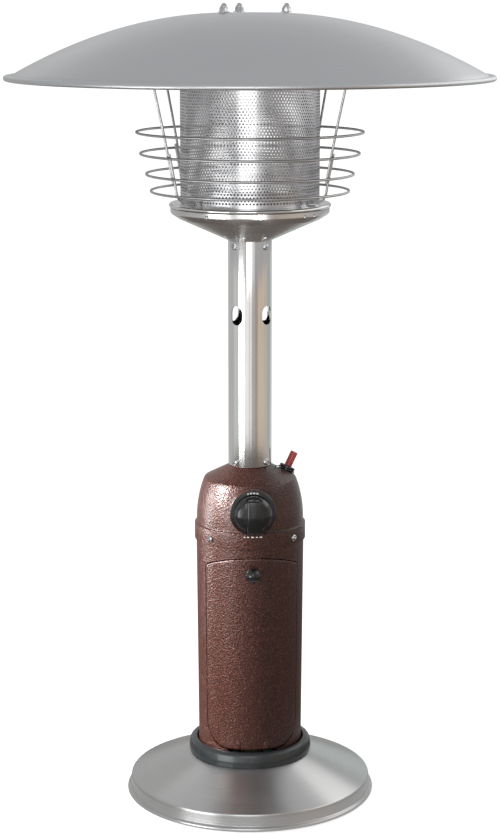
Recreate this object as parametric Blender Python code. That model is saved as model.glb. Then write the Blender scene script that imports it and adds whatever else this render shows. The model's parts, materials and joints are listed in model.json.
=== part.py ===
"""Table-top gas patio heater, modelled as an assembly of separate parts.

Metres, +Z up. The origin is the centre of the base at table level, the heater's axis is Z, and the
control knob and the door face -Y. An azimuth is an angle round the axis, from the front towards +X.
"""
import math

import bmesh
import bpy
from mathutils import Matrix, Vector

# ---------------------------------------------------------------- driving dimensions
OVERALL_HEIGHT = 0.965
GAP = 0.0003                     # clearance between pieces that touch
SHEET = 0.0012                   # thickness of the pressed and spun sheet

BASE_RADIUS = 0.1530
BASE_EDGE_BEAD = 0.0025
BASE_BAND_RADIUS = 0.1482
BASE_BAND_TOP = 0.0215
BASE_CONE_RADIUS = 0.0740
BASE_TOP = 0.0515
FOOT_HEIGHT = 0.0030
FOOT_RADIUS = 0.0100
FOOT_CIRCLE = 0.1000
WEIGHT_RADIUS = 0.1200
WEIGHT_THICKNESS = 0.0080
BOLT_CIRCLE = 0.0350
BOLT_TURN = 20

RING_INNER = 0.0658
RING_WIDTH = 0.0099
RING_HEIGHT = 0.0178

HOUSING_BOTTOM = 0.0518
HOUSING_TOP = 0.3412
HOUSING_TAPER_TOP = 0.3235        # above this the housing is straight
HOUSING_FOOT_RADIUS = 0.0634
HOUSING_TOP_RADIUS = 0.0654
HOUSING_HEM_RADIUS = 0.0650
HOUSING_SHEET = 0.0010

DOOR_HALF_ANGLE = math.radians(58)
DOOR_BOTTOM = 0.0712
DOOR_TOP = 0.3130
DOOR_ARCH = 0.0122               # how far the arched top edge falls towards its corners
DOOR_CORNER = 0.0340             # radius of the lower corners
DOOR_TOP_CORNER = 0.0050
DOOR_PROUD = 0.0006
DOOR_GAP = 0.0010
HINGE_Y = -0.0572
HINGE_Z = 0.0770
HINGE_PIN_RADIUS = 0.0018
HINGE_EAR_REACH = 0.0028         # ear material round the pin's axis, to the front, top and bottom
HINGE_EAR_FOOT_Y = -0.0500
HINGE_EAR_THICKNESS = 0.0028
DOOR_KNOB_Z = 0.2950
DOOR_KNOB_RADIUS = 0.0093

BAND_RADIUS = 0.0675
BAND_BOTTOM = 0.3245
BAND_TOP = 0.3445
DOME_RADIUS = 0.0650
DOME_SIDE_BOTTOM = 0.3500
DOME_SHOULDER_RADIUS = 0.0562
DOME_SHOULDER = 0.3985
DOME_TOP = 0.4155
DOME_HOLE_RADIUS = 0.0251
HOUSING_SCREW_Z = 0.3335
HOUSING_SCREW_AZIMUTHS = (-48, 48, 132, 228)

KNOB_Z = 0.3704
KNOB_RADIUS = 0.0225
KNOB_FACE_Y = -0.0930
KNOB_TRAVEL = 0.0040
BOSS_RADIUS = 0.0281
BOSS_FACE_Y = -0.0682
BEZEL_RADIUS = 0.0272

IGNITER_CIRCLE = 0.0470
IGNITER_AZIMUTH = 107
IGNITER_BUTTON_RADIUS = 0.0045
IGNITER_BUTTON_PROUD = 0.0240

POST_RADIUS = 0.0262
POST_SHEET = 0.0012
POST_BOTTOM = 0.4160
POST_TOP = 0.6885
POST_HOLE_Z = 0.6000
POST_HOLE_WIDTH = 0.0160
POST_HOLE_HEIGHT = 0.0230
POST_TURN = 4                    # the air holes sit 4 degrees off the screws' diagonals
POST_SCREW_LOW_Z = 0.4214
POST_SCREW_TOP_Z = 0.6822
HEAD_TURN = -3                   # the burner head is screwed on turned a little the other way

BOWL_NECK_RADIUS = 0.0247
BOWL_FOOT_RADIUS = 0.0272
BOWL_FOOT_Z = 0.6890
BOWL_CREASE_RADIUS = 0.0850       # where the shallow cone turns up into the rounded side
BOWL_CREASE_Z = 0.7150
BOWL_SIDE_RADIUS = 0.0938
BOWL_SIDE_Z = 0.7208
BOWL_LIP_RADIUS = 0.0945
PLATE_TOP = 0.7328
PLATE_RADIUS = 0.0963
EMITTER_RADIUS = 0.0824
EMITTER_SHEET = 0.0010
EMITTER_TOP = 0.9050

GUARD_WIRE = 0.0015              # wire radius
GUARD_RINGS = ((0.1172, 0.747), (0.1226, 0.767), (0.1294, 0.791), (0.1338, 0.816))
GUARD_AZIMUTHS = (-50.3, 45.2, 137.0, 222.4)
GUARD_SHOULDER_Z = 0.8930
GUARD_FLARE = 0.0014             # how far the uprights bow out over the top ring

STUD_CIRCLE = 0.0437
STUD_AZIMUTHS = (73.8, -46.2, 193.8)
REFLECTOR_RADIUS = 0.2877
REFLECTOR_BEAD = 0.0031
REFLECTOR_RIM_Z = 0.8795
REFLECTOR_WALL_RADIUS = 0.2770
REFLECTOR_CROWN = 0.9540
REFLECTOR_FLAT_RADIUS = 0.0250
REFLECTOR_FALL = 1.11            # the dome falls by this times the square of the run, per metre

WIDE = 40                        # sides of the reflector and the base
FINE = 32                        # sides of the body's turned pieces
MEDIUM = 20
SMALL = 12
TINY = 8


# ---------------------------------------------------------------- materials
def material(name, colour, roughness, metallic=0.0):
    made = bpy.data.materials.new(name)
    made.use_nodes = True
    shader = made.node_tree.nodes["Principled BSDF"]
    shader.inputs["Base Color"].default_value = (*colour, 1.0)
    shader.inputs["Roughness"].default_value = roughness
    shader.inputs["Metallic"].default_value = metallic
    return made


def make_materials():
    return {
        "bronze": material("hammered_bronze", (0.075, 0.030, 0.020), 0.35, 0.4),
        "brushed": material("brushed_steel", (0.62, 0.62, 0.61), 0.32, 1.0),
        "polished": material("polished_steel", (0.70, 0.70, 0.69), 0.12, 1.0),
        "aluminium": material("satin_aluminium", (0.48, 0.50, 0.51), 0.38, 1.0),
        "plated": material("zinc_plated", (0.66, 0.66, 0.67), 0.25, 1.0),
        "black": material("black_plastic", (0.02, 0.02, 0.022), 0.25),
        "ring": material("black_ring", (0.045, 0.052, 0.056), 0.35),
        "rubber": material("black_rubber", (0.03, 0.03, 0.03), 0.8),
        "red": material("red_button", (0.38, 0.03, 0.03), 0.35),
        "brass": material("brass", (0.72, 0.52, 0.22), 0.3, 1.0),
        "cast": material("cast_zinc", (0.35, 0.35, 0.36), 0.45, 1.0),
        "iron": material("painted_iron", (0.05, 0.05, 0.05), 0.6),
        "cylinder": material("cylinder_paint", (0.10, 0.22, 0.12), 0.4),
        "ceramic": material("ceramic", (0.85, 0.84, 0.80), 0.3),
    }


# ---------------------------------------------------------------- points and paths
def around(radius, azimuth_deg, z):
    angle = math.radians(azimuth_deg)
    return Vector((radius * math.sin(angle), -radius * math.cos(angle), z))


def arc(centre_r, centre_z, radius, start_deg, end_deg, steps):
    """Points (r, z) of an arc in the turning plane; 0 degrees is outwards and 90 is up."""
    points = []
    for step in range(steps + 1):
        angle = math.radians(start_deg + (end_deg - start_deg) * step / steps)
        points.append((centre_r + radius * math.cos(angle), centre_z + radius * math.sin(angle)))
    return points


def smooth_path(points, spacing):
    """A Catmull-Rom curve through the route's points, sampled about every spacing metres."""
    route = [Vector(point) for point in points]
    route = [2 * route[0] - route[1]] + route + [2 * route[-1] - route[-2]]
    path = []
    for index in range(1, len(route) - 2):
        before, start, end, after = route[index - 1:index + 3]
        steps = max(1, round((end - start).length / spacing))
        for step in range(steps):
            t = step / steps
            path.append(0.5 * (2 * start + (end - before) * t
                               + (2 * before - 5 * start + 4 * end - after) * t ** 2
                               + (3 * start - before - 3 * end + after) * t ** 3))
    path.append(route[-2])
    return path


# ---------------------------------------------------------------- shapes
def add_object(name, bm, finish, sharp_deg=35):
    bmesh.ops.recalc_face_normals(bm, faces=bm.faces)
    mesh = bpy.data.meshes.new(name)
    bm.to_mesh(mesh)
    bm.free()
    mesh.shade_smooth()
    mesh.set_sharp_from_angle(angle=math.radians(sharp_deg))
    made = bpy.data.objects.new(name, mesh)
    bpy.context.scene.collection.objects.link(made)
    if finish:
        made.data.materials.append(finish)
    return made


def turned(name, profile, finish, sides, frame=None, twist=0.0):
    """Turn an outline of (r, z) points about Z. An outline that starts and ends on the axis makes a
    solid; any other is closed into a hollow ring. frame places the result, and twist turns its sides
    by that part of a side, which keeps a tool's edges off the edges of what it cuts."""
    bm = bmesh.new()
    on_axis = profile[0][0] < 1e-6
    rings = []
    for radius, z in profile:
        if radius < 1e-6:
            rings.append([bm.verts.new((0, 0, z))])
            continue
        ring = []
        for side in range(sides):
            angle = 2 * math.pi * (side + twist) / sides
            ring.append(bm.verts.new((radius * math.sin(angle), -radius * math.cos(angle), z)))
        rings.append(ring)
    pairs = list(zip(rings, rings[1:]))
    if not on_axis:
        pairs.append((rings[-1], rings[0]))
    for lower, upper in pairs:
        for side in range(sides):
            after = (side + 1) % sides
            if len(lower) == 1:
                bm.faces.new((lower[0], upper[after], upper[side]))
            elif len(upper) == 1:
                bm.faces.new((lower[side], lower[after], upper[0]))
            else:
                bm.faces.new((lower[side], lower[after], upper[after], upper[side]))
    if frame:
        bmesh.ops.transform(bm, matrix=frame, verts=bm.verts)
    return add_object(name, bm, finish)


def block(name, low, high, finish, bevel=0.0):
    bm = bmesh.new()
    bmesh.ops.create_cube(bm, size=1.0)
    low, high = Vector(low), Vector(high)
    for vert in bm.verts:
        vert.co = Vector((low[i] + (vert.co[i] + 0.5) * (high[i] - low[i]) for i in range(3)))
    if bevel:
        bmesh.ops.bevel(bm, geom=bm.edges[:], offset=bevel, segments=2, affect='EDGES', profile=0.5)
    return add_object(name, bm, finish)


def prism(name, outline, start, end, finish, axis_frame):
    """Extrude an outline of (u, v) points from start to end along the third axis of axis_frame."""
    bm = bmesh.new()
    near = [bm.verts.new((u, v, start)) for u, v in outline]
    far = [bm.verts.new((u, v, end)) for u, v in outline]
    bm.faces.new(list(reversed(near)))
    bm.faces.new(far)
    for index in range(len(outline)):
        after = (index + 1) % len(outline)
        bm.faces.new((near[index], near[after], far[after], far[index]))
    bmesh.ops.transform(bm, matrix=axis_frame, verts=bm.verts)
    return add_object(name, bm, finish)


def tube(name, path, radius, finish, sides, closed=False):
    """A round bar along a path, as one closed solid."""
    bm = bmesh.new()
    count = len(path)
    rings = []
    side_way = None
    for index, point in enumerate(path):
        if closed:
            ahead = path[(index + 1) % count] - path[index - 1]
        else:
            ahead = path[min(index + 1, count - 1)] - path[max(index - 1, 0)]
        ahead.normalize()
        if side_way is None:
            side_way = ahead.orthogonal()
            if closed:
                side_way = Vector((0, 0, 1))
        side_way = (side_way - ahead * side_way.dot(ahead)).normalized()
        up_way = ahead.cross(side_way)
        ring = []
        for side in range(sides):
            angle = 2 * math.pi * (side + 0.5) / sides
            offset = side_way * math.cos(angle) + up_way * math.sin(angle)
            ring.append(bm.verts.new(point + offset * radius))
        rings.append(ring)
    pairs = list(zip(rings, rings[1:]))
    if closed:
        pairs.append((rings[-1], rings[0]))
    for first, second in pairs:
        for side in range(sides):
            after = (side + 1) % sides
            bm.faces.new((first[side], first[after], second[after], second[side]))
    if not closed:
        bm.faces.new(list(reversed(rings[0])))
        bm.faces.new(rings[-1])
    return add_object(name, bm, finish)


def boolean(target, tool, operation):
    tool.hide_render = True
    tool.display_type = 'WIRE'
    modifier = target.modifiers.new(f"{operation.lower()}_{tool.name}", 'BOOLEAN')
    modifier.operation = operation
    modifier.solver = 'EXACT'
    modifier.object = tool
    return target


def cut(target, tool):
    return boolean(target, tool, 'DIFFERENCE')


def weld(target, tool):
    return boolean(target, tool, 'UNION')


def bar_tool(name, centre, direction, radius, start, end, sides=TINY):
    """A round cutter along a direction, from start to end measured from centre."""
    frame = Matrix.Translation(centre) @ Vector(direction).to_track_quat('Z', 'Y').to_matrix().to_4x4()
    return turned(name, [(0, start), (radius, start), (radius, end), (0, end)], None, sides, frame, 0.37)


def outward(azimuth_deg):
    return around(1.0, azimuth_deg, 0.0)


def facing(centre, direction):
    """A frame at centre whose Z axis points along direction."""
    return Matrix.Translation(centre) @ Vector(direction).to_track_quat('Z', 'Y').to_matrix().to_4x4()


# ---------------------------------------------------------------- base
def base_slope(radius):
    """Height of the base's conical top at a radius."""
    fall = (BASE_TOP - BASE_BAND_TOP - 0.0025) / (BASE_BAND_RADIUS - 0.003 - BASE_CONE_RADIUS)
    return BASE_TOP - (radius - BASE_CONE_RADIUS) * fall


def make_base(finishes):
    bead_r = BASE_RADIUS - BASE_EDGE_BEAD
    bead_z = 0.0020 + BASE_EDGE_BEAD
    shoulder = 0.0030
    outer = arc(bead_r, bead_z, BASE_EDGE_BEAD, -90, 90, 4)
    outer += [(BASE_BAND_RADIUS + 0.0006, bead_z + BASE_EDGE_BEAD + 0.0006)]
    outer += arc(BASE_BAND_RADIUS - shoulder, BASE_BAND_TOP - 0.0005, shoulder, 0, 69, 2)
    outer += [(BASE_CONE_RADIUS, BASE_TOP), (0, BASE_TOP)]
    inner = [(0, BASE_TOP - SHEET), (BASE_CONE_RADIUS - 0.0002, BASE_TOP - SHEET),
             (BASE_BAND_RADIUS - shoulder, base_slope(BASE_BAND_RADIUS - shoulder) - 1.6 * SHEET),
             (BASE_BAND_RADIUS - SHEET, BASE_BAND_TOP - 0.003), (BASE_BAND_RADIUS - SHEET, 0.0020)]
    bm_profile = list(reversed(outer)) + list(reversed(inner))
    cone = turned("base_cone", bm_profile, finishes["brushed"], WIDE)
    weight_low = FOOT_HEIGHT + GAP
    weight = turned("base_weight", [(0, weight_low), (WEIGHT_RADIUS - 0.001, weight_low),
                                    (WEIGHT_RADIUS, weight_low + 0.001),
                                    (WEIGHT_RADIUS, weight_low + WEIGHT_THICKNESS),
                                    (0, weight_low + WEIGHT_THICKNESS)], finishes["iron"], FINE)
    made = [cone, weight]
    for index in range(3):
        centre = around(FOOT_CIRCLE, 60 + 120 * index, 0)
        foot = turned(f"foot_{index + 1}", [(0, 0), (FOOT_RADIUS - 0.0008, 0), (FOOT_RADIUS, 0.0010),
                                            (FOOT_RADIUS - 0.0004, FOOT_HEIGHT), (0, FOOT_HEIGHT)],
                      finishes["rubber"], SMALL, Matrix.Translation(centre))
        made.append(foot)
    profile = [(RING_INNER, HOUSING_BOTTOM)]
    for step in range(7):
        angle = math.radians(90 * step / 6)
        profile.append((RING_INNER + RING_WIDTH * math.cos(angle) ** 0.8,
                        HOUSING_BOTTOM + 0.0015 + (RING_HEIGHT - 0.0015) * math.sin(angle) ** 0.9))
    profile.insert(1, (RING_INNER + RING_WIDTH - 0.0004, HOUSING_BOTTOM))
    made.append(turned("foot_ring", profile[:-1] + [(RING_INNER + 0.0006, HOUSING_BOTTOM + RING_HEIGHT),
                                                    (RING_INNER, HOUSING_BOTTOM + RING_HEIGHT - 0.0006)],
                       finishes["ring"], FINE))
    return made


def make_base_bolts(finishes, drilled):
    """Three long bolts clamp the housing, the base and the weight together."""
    head_low = HOUSING_BOTTOM + 0.0015 + GAP
    for index in range(3):
        centre = around(BOLT_CIRCLE, BOLT_TURN + 120 * index, 0)
        bolt = turned(f"base_bolt_{index + 1}", [(0, 0.0050), (0.0026, 0.0050), (0.0030, 0.0055),
                                                 (0.0030, head_low), (0.0052, head_low),
                                                 (0.0052, head_low + 0.0032), (0.0044, head_low + 0.0040),
                                                 (0, head_low + 0.0040)],
                      finishes["plated"], TINY, Matrix.Translation(centre))
        for target in drilled:
            tool = bar_tool(f"bolt_hole_{index + 1}_{target.name}", centre, (0, 0, 1), 0.0034,
                            0.0, 0.060)
            cut(target, tool)


# ---------------------------------------------------------------- lower housing and door
def housing_radius(z):
    rise = (z - 0.075) / (HOUSING_TAPER_TOP - 0.075)
    return HOUSING_FOOT_RADIUS + (HOUSING_TOP_RADIUS - HOUSING_FOOT_RADIUS) * min(max(rise, 0.0), 1.0)


def panel_edges(azimuth, spare):
    """Bottom and top of the door's outline at an azimuth in radians, grown by spare all round."""
    radius = housing_radius(0.2)
    half = radius * DOOR_HALF_ANGLE + spare
    run = min(abs(radius * azimuth), half)
    corner = DOOR_CORNER + spare
    bottom = DOOR_BOTTOM - spare
    if run > half - corner:
        bottom += corner - math.sqrt(max(corner ** 2 - (run - (half - corner)) ** 2, 0.0))
    top = DOOR_TOP + spare - DOOR_ARCH * (run / (radius * DOOR_HALF_ANGLE)) ** 2
    top_corner = DOOR_TOP_CORNER + spare
    if run > half - top_corner:
        top -= top_corner - math.sqrt(max(top_corner ** 2 - (run - (half - top_corner)) ** 2, 0.0))
    return bottom, top


def curved_panel(name, spare, inner_of, outer_of, finish, columns, rows):
    """A panel with the door's outline, bent round the axis between two radii."""
    radius = housing_radius(0.2)
    half = DOOR_HALF_ANGLE + spare / radius
    bm = bmesh.new()
    outer, inner = [], []
    for column in range(columns + 1):
        t = 2 * column / columns - 1
        azimuth = half * math.sin(t * math.pi / 2)
        low, high = panel_edges(azimuth, spare)
        for grid, radius_of in ((outer, outer_of), (inner, inner_of)):
            line = []
            for row in range(rows + 1):
                z = low + (high - low) * row / rows
                line.append(bm.verts.new(around(radius_of(z), math.degrees(azimuth), z)))
            grid.append(line)
    for column in range(columns):
        for row in range(rows):
            for grid in (outer, inner):
                bm.faces.new((grid[column][row], grid[column + 1][row],
                              grid[column + 1][row + 1], grid[column][row + 1]))
        for row in (0, rows):
            bm.faces.new((outer[column][row], outer[column + 1][row],
                          inner[column + 1][row], inner[column][row]))
    for row in range(rows):
        for column in (0, columns):
            bm.faces.new((outer[column][row], outer[column][row + 1],
                          inner[column][row + 1], inner[column][row]))
    return add_object(name, bm, finish)


def make_housing(finishes):
    """The lower housing is a tube with a flared hem and a floor; its front opens for the door."""
    floor_top = HOUSING_BOTTOM + 0.0015
    outer = [(0, HOUSING_BOTTOM), (HOUSING_HEM_RADIUS - 0.001, HOUSING_BOTTOM),
             (HOUSING_HEM_RADIUS, HOUSING_BOTTOM + 0.001), (HOUSING_HEM_RADIUS, 0.0600),
             (0.0641, 0.0680), (housing_radius(0.0750), 0.0750)]
    outer += [(housing_radius(z), z) for z in (HOUSING_TAPER_TOP,)]
    outer += [(HOUSING_TOP_RADIUS, HOUSING_TOP)]
    inner = [(HOUSING_TOP_RADIUS - HOUSING_SHEET, HOUSING_TOP)]
    inner += [(housing_radius(z) - HOUSING_SHEET, z) for z in (HOUSING_TAPER_TOP, 0.0750)]
    inner += [(0.0631, 0.0680), (HOUSING_HEM_RADIUS - HOUSING_SHEET, 0.0600),
              (HOUSING_HEM_RADIUS - HOUSING_SHEET, floor_top), (0, floor_top)]
    housing = turned("lower_housing", outer + inner, finishes["bronze"], FINE)
    opening = curved_panel("door_opening", DOOR_GAP, lambda z: 0.050, lambda z: 0.080, None, 20, 4)
    cut(housing, opening)
    # The strip under the door is cut lower in the middle, where the door's foot swings inwards.
    swing_room = block("door_swing_room", (-0.0300, -0.0800, 0.0670), (0.0300, -0.0500, 0.0750), None)
    cut(housing, swing_room)
    ear_front, ear_top = HINGE_Y - HINGE_EAR_REACH, HINGE_Z + HINGE_EAR_REACH
    leg_front, arm_low = HINGE_EAR_FOOT_Y - HINGE_EAR_THICKNESS, HINGE_Z - HINGE_EAR_REACH
    ear_outline = [(leg_front, floor_top - 0.0005), (HINGE_EAR_FOOT_Y, floor_top - 0.0005),
                   (HINGE_EAR_FOOT_Y, ear_top), (ear_front, ear_top), (ear_front, arm_low),
                   (leg_front, arm_low)]
    for side in (-1, 1):
        x_low, x_high = sorted((side * 0.0090, side * 0.0130))
        # u runs along +Y and v along +Z, so the extrusion runs along +X.
        frame = Matrix(((0, 0, 1, 0), (1, 0, 0, 0), (0, 1, 0, 0), (0, 0, 0, 1)))
        ear = prism(f"hinge_ear_{side}", ear_outline, x_low, x_high, None, frame)
        weld(housing, ear)
    cut(housing, bar_tool("hinge_bore_housing", (0, HINGE_Y, HINGE_Z), (1, 0, 0),
                          HINGE_PIN_RADIUS + GAP, -0.016, 0.016))
    return housing


def make_door(finishes):
    panel = curved_panel("door_panel", 0.0, lambda z: housing_radius(z) + DOOR_PROUD - 0.0010,
                         lambda z: housing_radius(z) + DOOR_PROUD, finishes["bronze"], 20, 4)
    for side in (-1, 1):
        x_low, x_high = sorted((side * 0.0135, side * 0.0195))
        lug = block(f"hinge_lug_{side}", (x_low, -0.0616, 0.0722), (x_high, -0.0535, 0.0818), None)
        weld(panel, lug)
    cut(panel, bar_tool("hinge_bore_door", (0, HINGE_Y, HINGE_Z), (1, 0, 0),
                        HINGE_PIN_RADIUS + GAP, -0.025, 0.025))
    surface = -(housing_radius(DOOR_KNOB_Z) + DOOR_PROUD)
    cut(panel, bar_tool("door_knob_hole", (0, 0, DOOR_KNOB_Z), (0, -1, 0), 0.0024, 0.055, 0.075))
    ball = DOOR_KNOB_RADIUS
    profile = [(0, -0.0035), (0.0021, -0.0035), (0.0021, GAP), (0.0062, GAP), (0.0058, 0.0022),
               (0.0050, 0.0036)]
    profile += arc(0, 0.0085, ball, -28, 60, 5)
    profile += [(0.0030, 0.0085 + ball * 0.955), (0, 0.0085 + ball * 0.985)]
    turned("door_knob", profile, finishes["black"], 20, facing((0, surface, DOOR_KNOB_Z), (0, -1, 0)))
    pin_end = 0.0205
    turned("hinge_pin", [(0, -pin_end), (HINGE_PIN_RADIUS, -pin_end), (HINGE_PIN_RADIUS, pin_end),
                         (0, pin_end)], finishes["plated"], TINY,
           facing((0, HINGE_Y, HINGE_Z), (1, 0, 0)))
    block("door_catch", (-0.0100, -0.0630, 0.3030), (0.0100, -0.0570, 0.3240), finishes["iron"], 0.0008)


# ---------------------------------------------------------------- gas supply
def make_gas_supply(finishes):
    cradle_floor = 0.0600
    cradle = turned("cylinder_cradle", [(0, cradle_floor), (0.0518, cradle_floor), (0.0518, 0.0536),
                                        (0.0530, 0.0536), (0.0530, 0.0780), (0.0518, 0.0780),
                                        (0.0518, cradle_floor + SHEET), (0, cradle_floor + SHEET)],
                    finishes["plated"], FINE)
    cut(cradle, block("cradle_notch", (-0.0240, -0.0700, 0.0500), (0.0240, -0.0440, 0.0900), None))

    bottom = cradle_floor + SHEET + GAP
    body, wall, neck, bore = 0.0495, 0.0012, 0.0127, 0.0040
    shoulder_low, shoulder_rise = 0.2050, 0.0380
    profile = [(0, bottom + 0.006), (0.030, bottom + 0.003), (0.0420, bottom), (0.0460, bottom),
               (body, bottom + 0.0060), (body, shoulder_low)]

    def shoulder(reduce, angles):
        points = []
        for angle in angles:
            run = math.cos(math.radians(angle))
            points.append((neck + (body - neck - reduce) * run,
                           shoulder_low + (shoulder_rise - reduce) * math.sin(math.radians(angle))))
        return points

    profile += shoulder(0.0, (25, 50, 72, 90))
    profile += [(neck, 0.2650), (bore, 0.2650), (bore, 0.2410)]
    profile += shoulder(wall, (72, 50, 25, 0))
    profile += [(body - wall, bottom + 0.0075), (0.0455, bottom + 0.0015), (0.030, bottom + 0.0045),
                (0, bottom + 0.0075)]
    turned("gas_cylinder", profile, finishes["cylinder"], 24)

    turned("regulator", [(0, 0.2655), (0.0131, 0.2655), (0.0131, 0.2480), (0.0180, 0.2480),
                         (0.0185, 0.2486), (0.0185, 0.2690), (0.0290, 0.2715), (0.0300, 0.2730),
                         (0.0300, 0.2850), (0.0285, 0.2868), (0.0170, 0.2880), (0.0160, 0.2940),
                         (0, 0.2940)], finishes["cast"], MEDIUM)
    tube("valve_feed_pipe", smooth_path([(0, 0.004, 0.2946), (0, 0.0038, 0.304), (0, -0.011, 0.321),
                                         (0, -0.0278, 0.342), (0, -0.028, 0.3534)], 0.008),
         0.0040, finishes["brass"], 8)

    bracket = turned("valve_bracket", [(0, 0.3470), (0.0628, 0.3470), (0.0628, 0.3485), (0, 0.3485)],
                     finishes["plated"], FINE)
    cut(bracket, bar_tool("feed_hole", (0, -0.028, 0), (0, 0, 1), 0.0070, 0.340, 0.355, SMALL))
    cut(bracket, block("bracket_notch", (-0.0300, -0.0700, 0.3400), (0.0300, -0.0515, 0.3550), None))

    valve = block("gas_valve", (-0.0160, -0.0500, 0.3540), (0.0160, -0.0150, 0.3870), finishes["cast"],
                  0.002)
    knob_axis = (0, 0, KNOB_Z)
    cut(valve, bar_tool("plug_bore", knob_axis, (0, -1, 0), 0.0078, 0.0345, 0.0600, MEDIUM))
    cut(valve, bar_tool("stem_bore", knob_axis, (0, -1, 0), 0.0045, 0.0240, 0.0400, SMALL))
    turned("valve_plug", [(0.0038, 0.0350), (0.0075, 0.0350), (0.0075, 0.0490), (0.0068, 0.0497),
                          (0.0038, 0.0497)], finishes["brass"], MEDIUM, facing(knob_axis, (0, -1, 0)))
    block("tilt_switch", (-0.0420, 0.0060, 0.3488), (-0.0220, 0.0260, 0.3700), finishes["black"], 0.0015)

    tube("burner_pipe", smooth_path([(0, -0.0215, 0.3876), (0, -0.0213, 0.3930), (0, -0.0060, 0.4150),
                                     (0, 0, 0.4350), (0, 0, 0.4800)], 0.006)
         + [Vector((0, 0, 0.7060))], 0.0040, finishes["brass"], 8)
    tube("pilot_pipe", smooth_path([(0.0100, -0.0215, 0.3874), (0.0100, -0.0213, 0.3930),
                                    (0.0100, -0.0060, 0.4150), (0.0100, 0, 0.4350),
                                    (0.0100, 0, 0.4800)], 0.006)
         + smooth_path([(0.0100, 0, 0.6600), (0.0125, 0, 0.6900), (0.0290, 0, 0.7040),
                        (0.0500, 0, 0.7090), (0.0510, 0, 0.7150)], 0.006),
         0.0015, finishes["brass"], 5)


# ---------------------------------------------------------------- valve housing, knob and igniter
def dome_side(z, inset=0.0):
    """Radius of the dome's curved side at a height."""
    rise = DOME_SHOULDER - DOME_SIDE_BOTTOM
    inwards = DOME_RADIUS - DOME_SHOULDER_RADIUS
    curve = (inwards ** 2 + rise ** 2) / (2 * inwards)
    up = max(z - DOME_SIDE_BOTTOM, 0.0)
    return DOME_RADIUS - (curve - math.sqrt(curve ** 2 - up ** 2)) - inset


def dome_top(radius):
    """Height of the dome's sloping top at a radius."""
    fall = (DOME_TOP - DOME_SHOULDER - 0.0022) / (DOME_SHOULDER_RADIUS - 0.0020 - DOME_HOLE_RADIUS)
    return DOME_TOP - (radius - DOME_HOLE_RADIUS) * fall


def make_valve_housing(finishes):
    corner = [(0.0540, dome_top(0.0540)), (0.0556, DOME_SHOULDER + 0.0011),
              (dome_side(DOME_SHOULDER - 0.0014), DOME_SHOULDER - 0.0014)]
    heights = (0.3870, 0.3750, 0.3620, DOME_SIDE_BOTTOM)
    outer = [(DOME_HOLE_RADIUS, DOME_TOP)] + corner + [(dome_side(z), z) for z in heights]
    outer += [(DOME_RADIUS, BAND_TOP + 0.0010), (BAND_RADIUS - 0.0010, BAND_TOP),
              (BAND_RADIUS, BAND_TOP - 0.0010), (BAND_RADIUS, BAND_BOTTOM + 0.0010),
              (BAND_RADIUS - 0.0008, BAND_BOTTOM)]
    inner = [(0.0660, BAND_BOTTOM), (0.0660, 0.3430), (DOME_RADIUS - SHEET, 0.3450)]
    inner += [(dome_side(z, SHEET), z) for z in reversed(heights)]
    inner += [(0.0543, 0.3978), (0.0532, dome_top(0.0532) - SHEET),
              (DOME_HOLE_RADIUS, DOME_TOP - SHEET)]
    dome = turned("valve_housing", outer + inner, finishes["bronze"], FINE)
    # A round cup is pressed out of the side to carry the knob on its flat face.
    boss_frame = facing((0, 0, KNOB_Z), (0, -1, 0))
    face = -BOSS_FACE_Y
    cut(dome, bar_tool("boss_opening", (0, 0, KNOB_Z), (0, -1, 0), BOSS_RADIUS - SHEET / 2, 0.0400, 0.0800,
                       FINE))
    boss = turned("knob_boss", [(0.0065, face), (BOSS_RADIUS - 0.0012, face), (BOSS_RADIUS, face - 0.0012),
                                (BOSS_RADIUS, 0.0525), (BOSS_RADIUS - SHEET, 0.0525),
                                (BOSS_RADIUS - SHEET, face - SHEET - 0.0008),
                                (BOSS_RADIUS - SHEET - 0.0008, face - SHEET), (0.0065, face - SHEET)],
                  None, FINE, boss_frame, 0.37)
    weld(dome, boss)
    centre, axis = igniter_axis()
    cut(dome, bar_tool("igniter_hole", centre, axis, 0.0075, -0.020, 0.020, 24))
    return dome


def igniter_axis():
    """The igniter stands square on the dome's sloping top, on the right and a little to the back."""
    slope = math.atan((dome_top(0.03) - dome_top(0.05)) / 0.02)
    centre = around(IGNITER_CIRCLE, IGNITER_AZIMUTH, dome_top(IGNITER_CIRCLE))
    return centre, around(math.sin(slope), IGNITER_AZIMUTH, math.cos(slope))


def make_igniter(finishes):
    centre, axis = igniter_axis()
    frame = facing(centre, axis)
    bore = IGNITER_BUTTON_RADIUS + 0.0005
    throat, flange, ring = 0.0072, 0.0108, 0.0098
    throat_end = -0.0060
    turned("igniter_collar", [(bore, throat_end), (throat, throat_end), (throat, GAP), (flange, GAP),
                              (flange, 0.0014), (ring - 0.0010, 0.0022), (ring, 0.0026),
                              (ring, 0.0040), (ring - 0.0012, 0.0052), (bore, 0.0056)],
           finishes["black"], 24, frame)
    barrel, barrel_end, barrel_top, bore_end = 0.0085, -0.0330, -0.0063, -0.0190
    turned("igniter_body", [(0, barrel_end), (barrel - 0.0005, barrel_end), (barrel, barrel_end + 0.0005),
                            (barrel, barrel_top), (bore, barrel_top), (bore, bore_end), (0, bore_end)],
           finishes["black"], 24, frame)
    button_foot = -0.0080
    turned("igniter_button", [(0, button_foot), (IGNITER_BUTTON_RADIUS, button_foot),
                              (IGNITER_BUTTON_RADIUS, IGNITER_BUTTON_PROUD - 0.0006),
                              (IGNITER_BUTTON_RADIUS - 0.0006, IGNITER_BUTTON_PROUD),
                              (0, IGNITER_BUTTON_PROUD)], finishes["red"], 24, frame)


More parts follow.
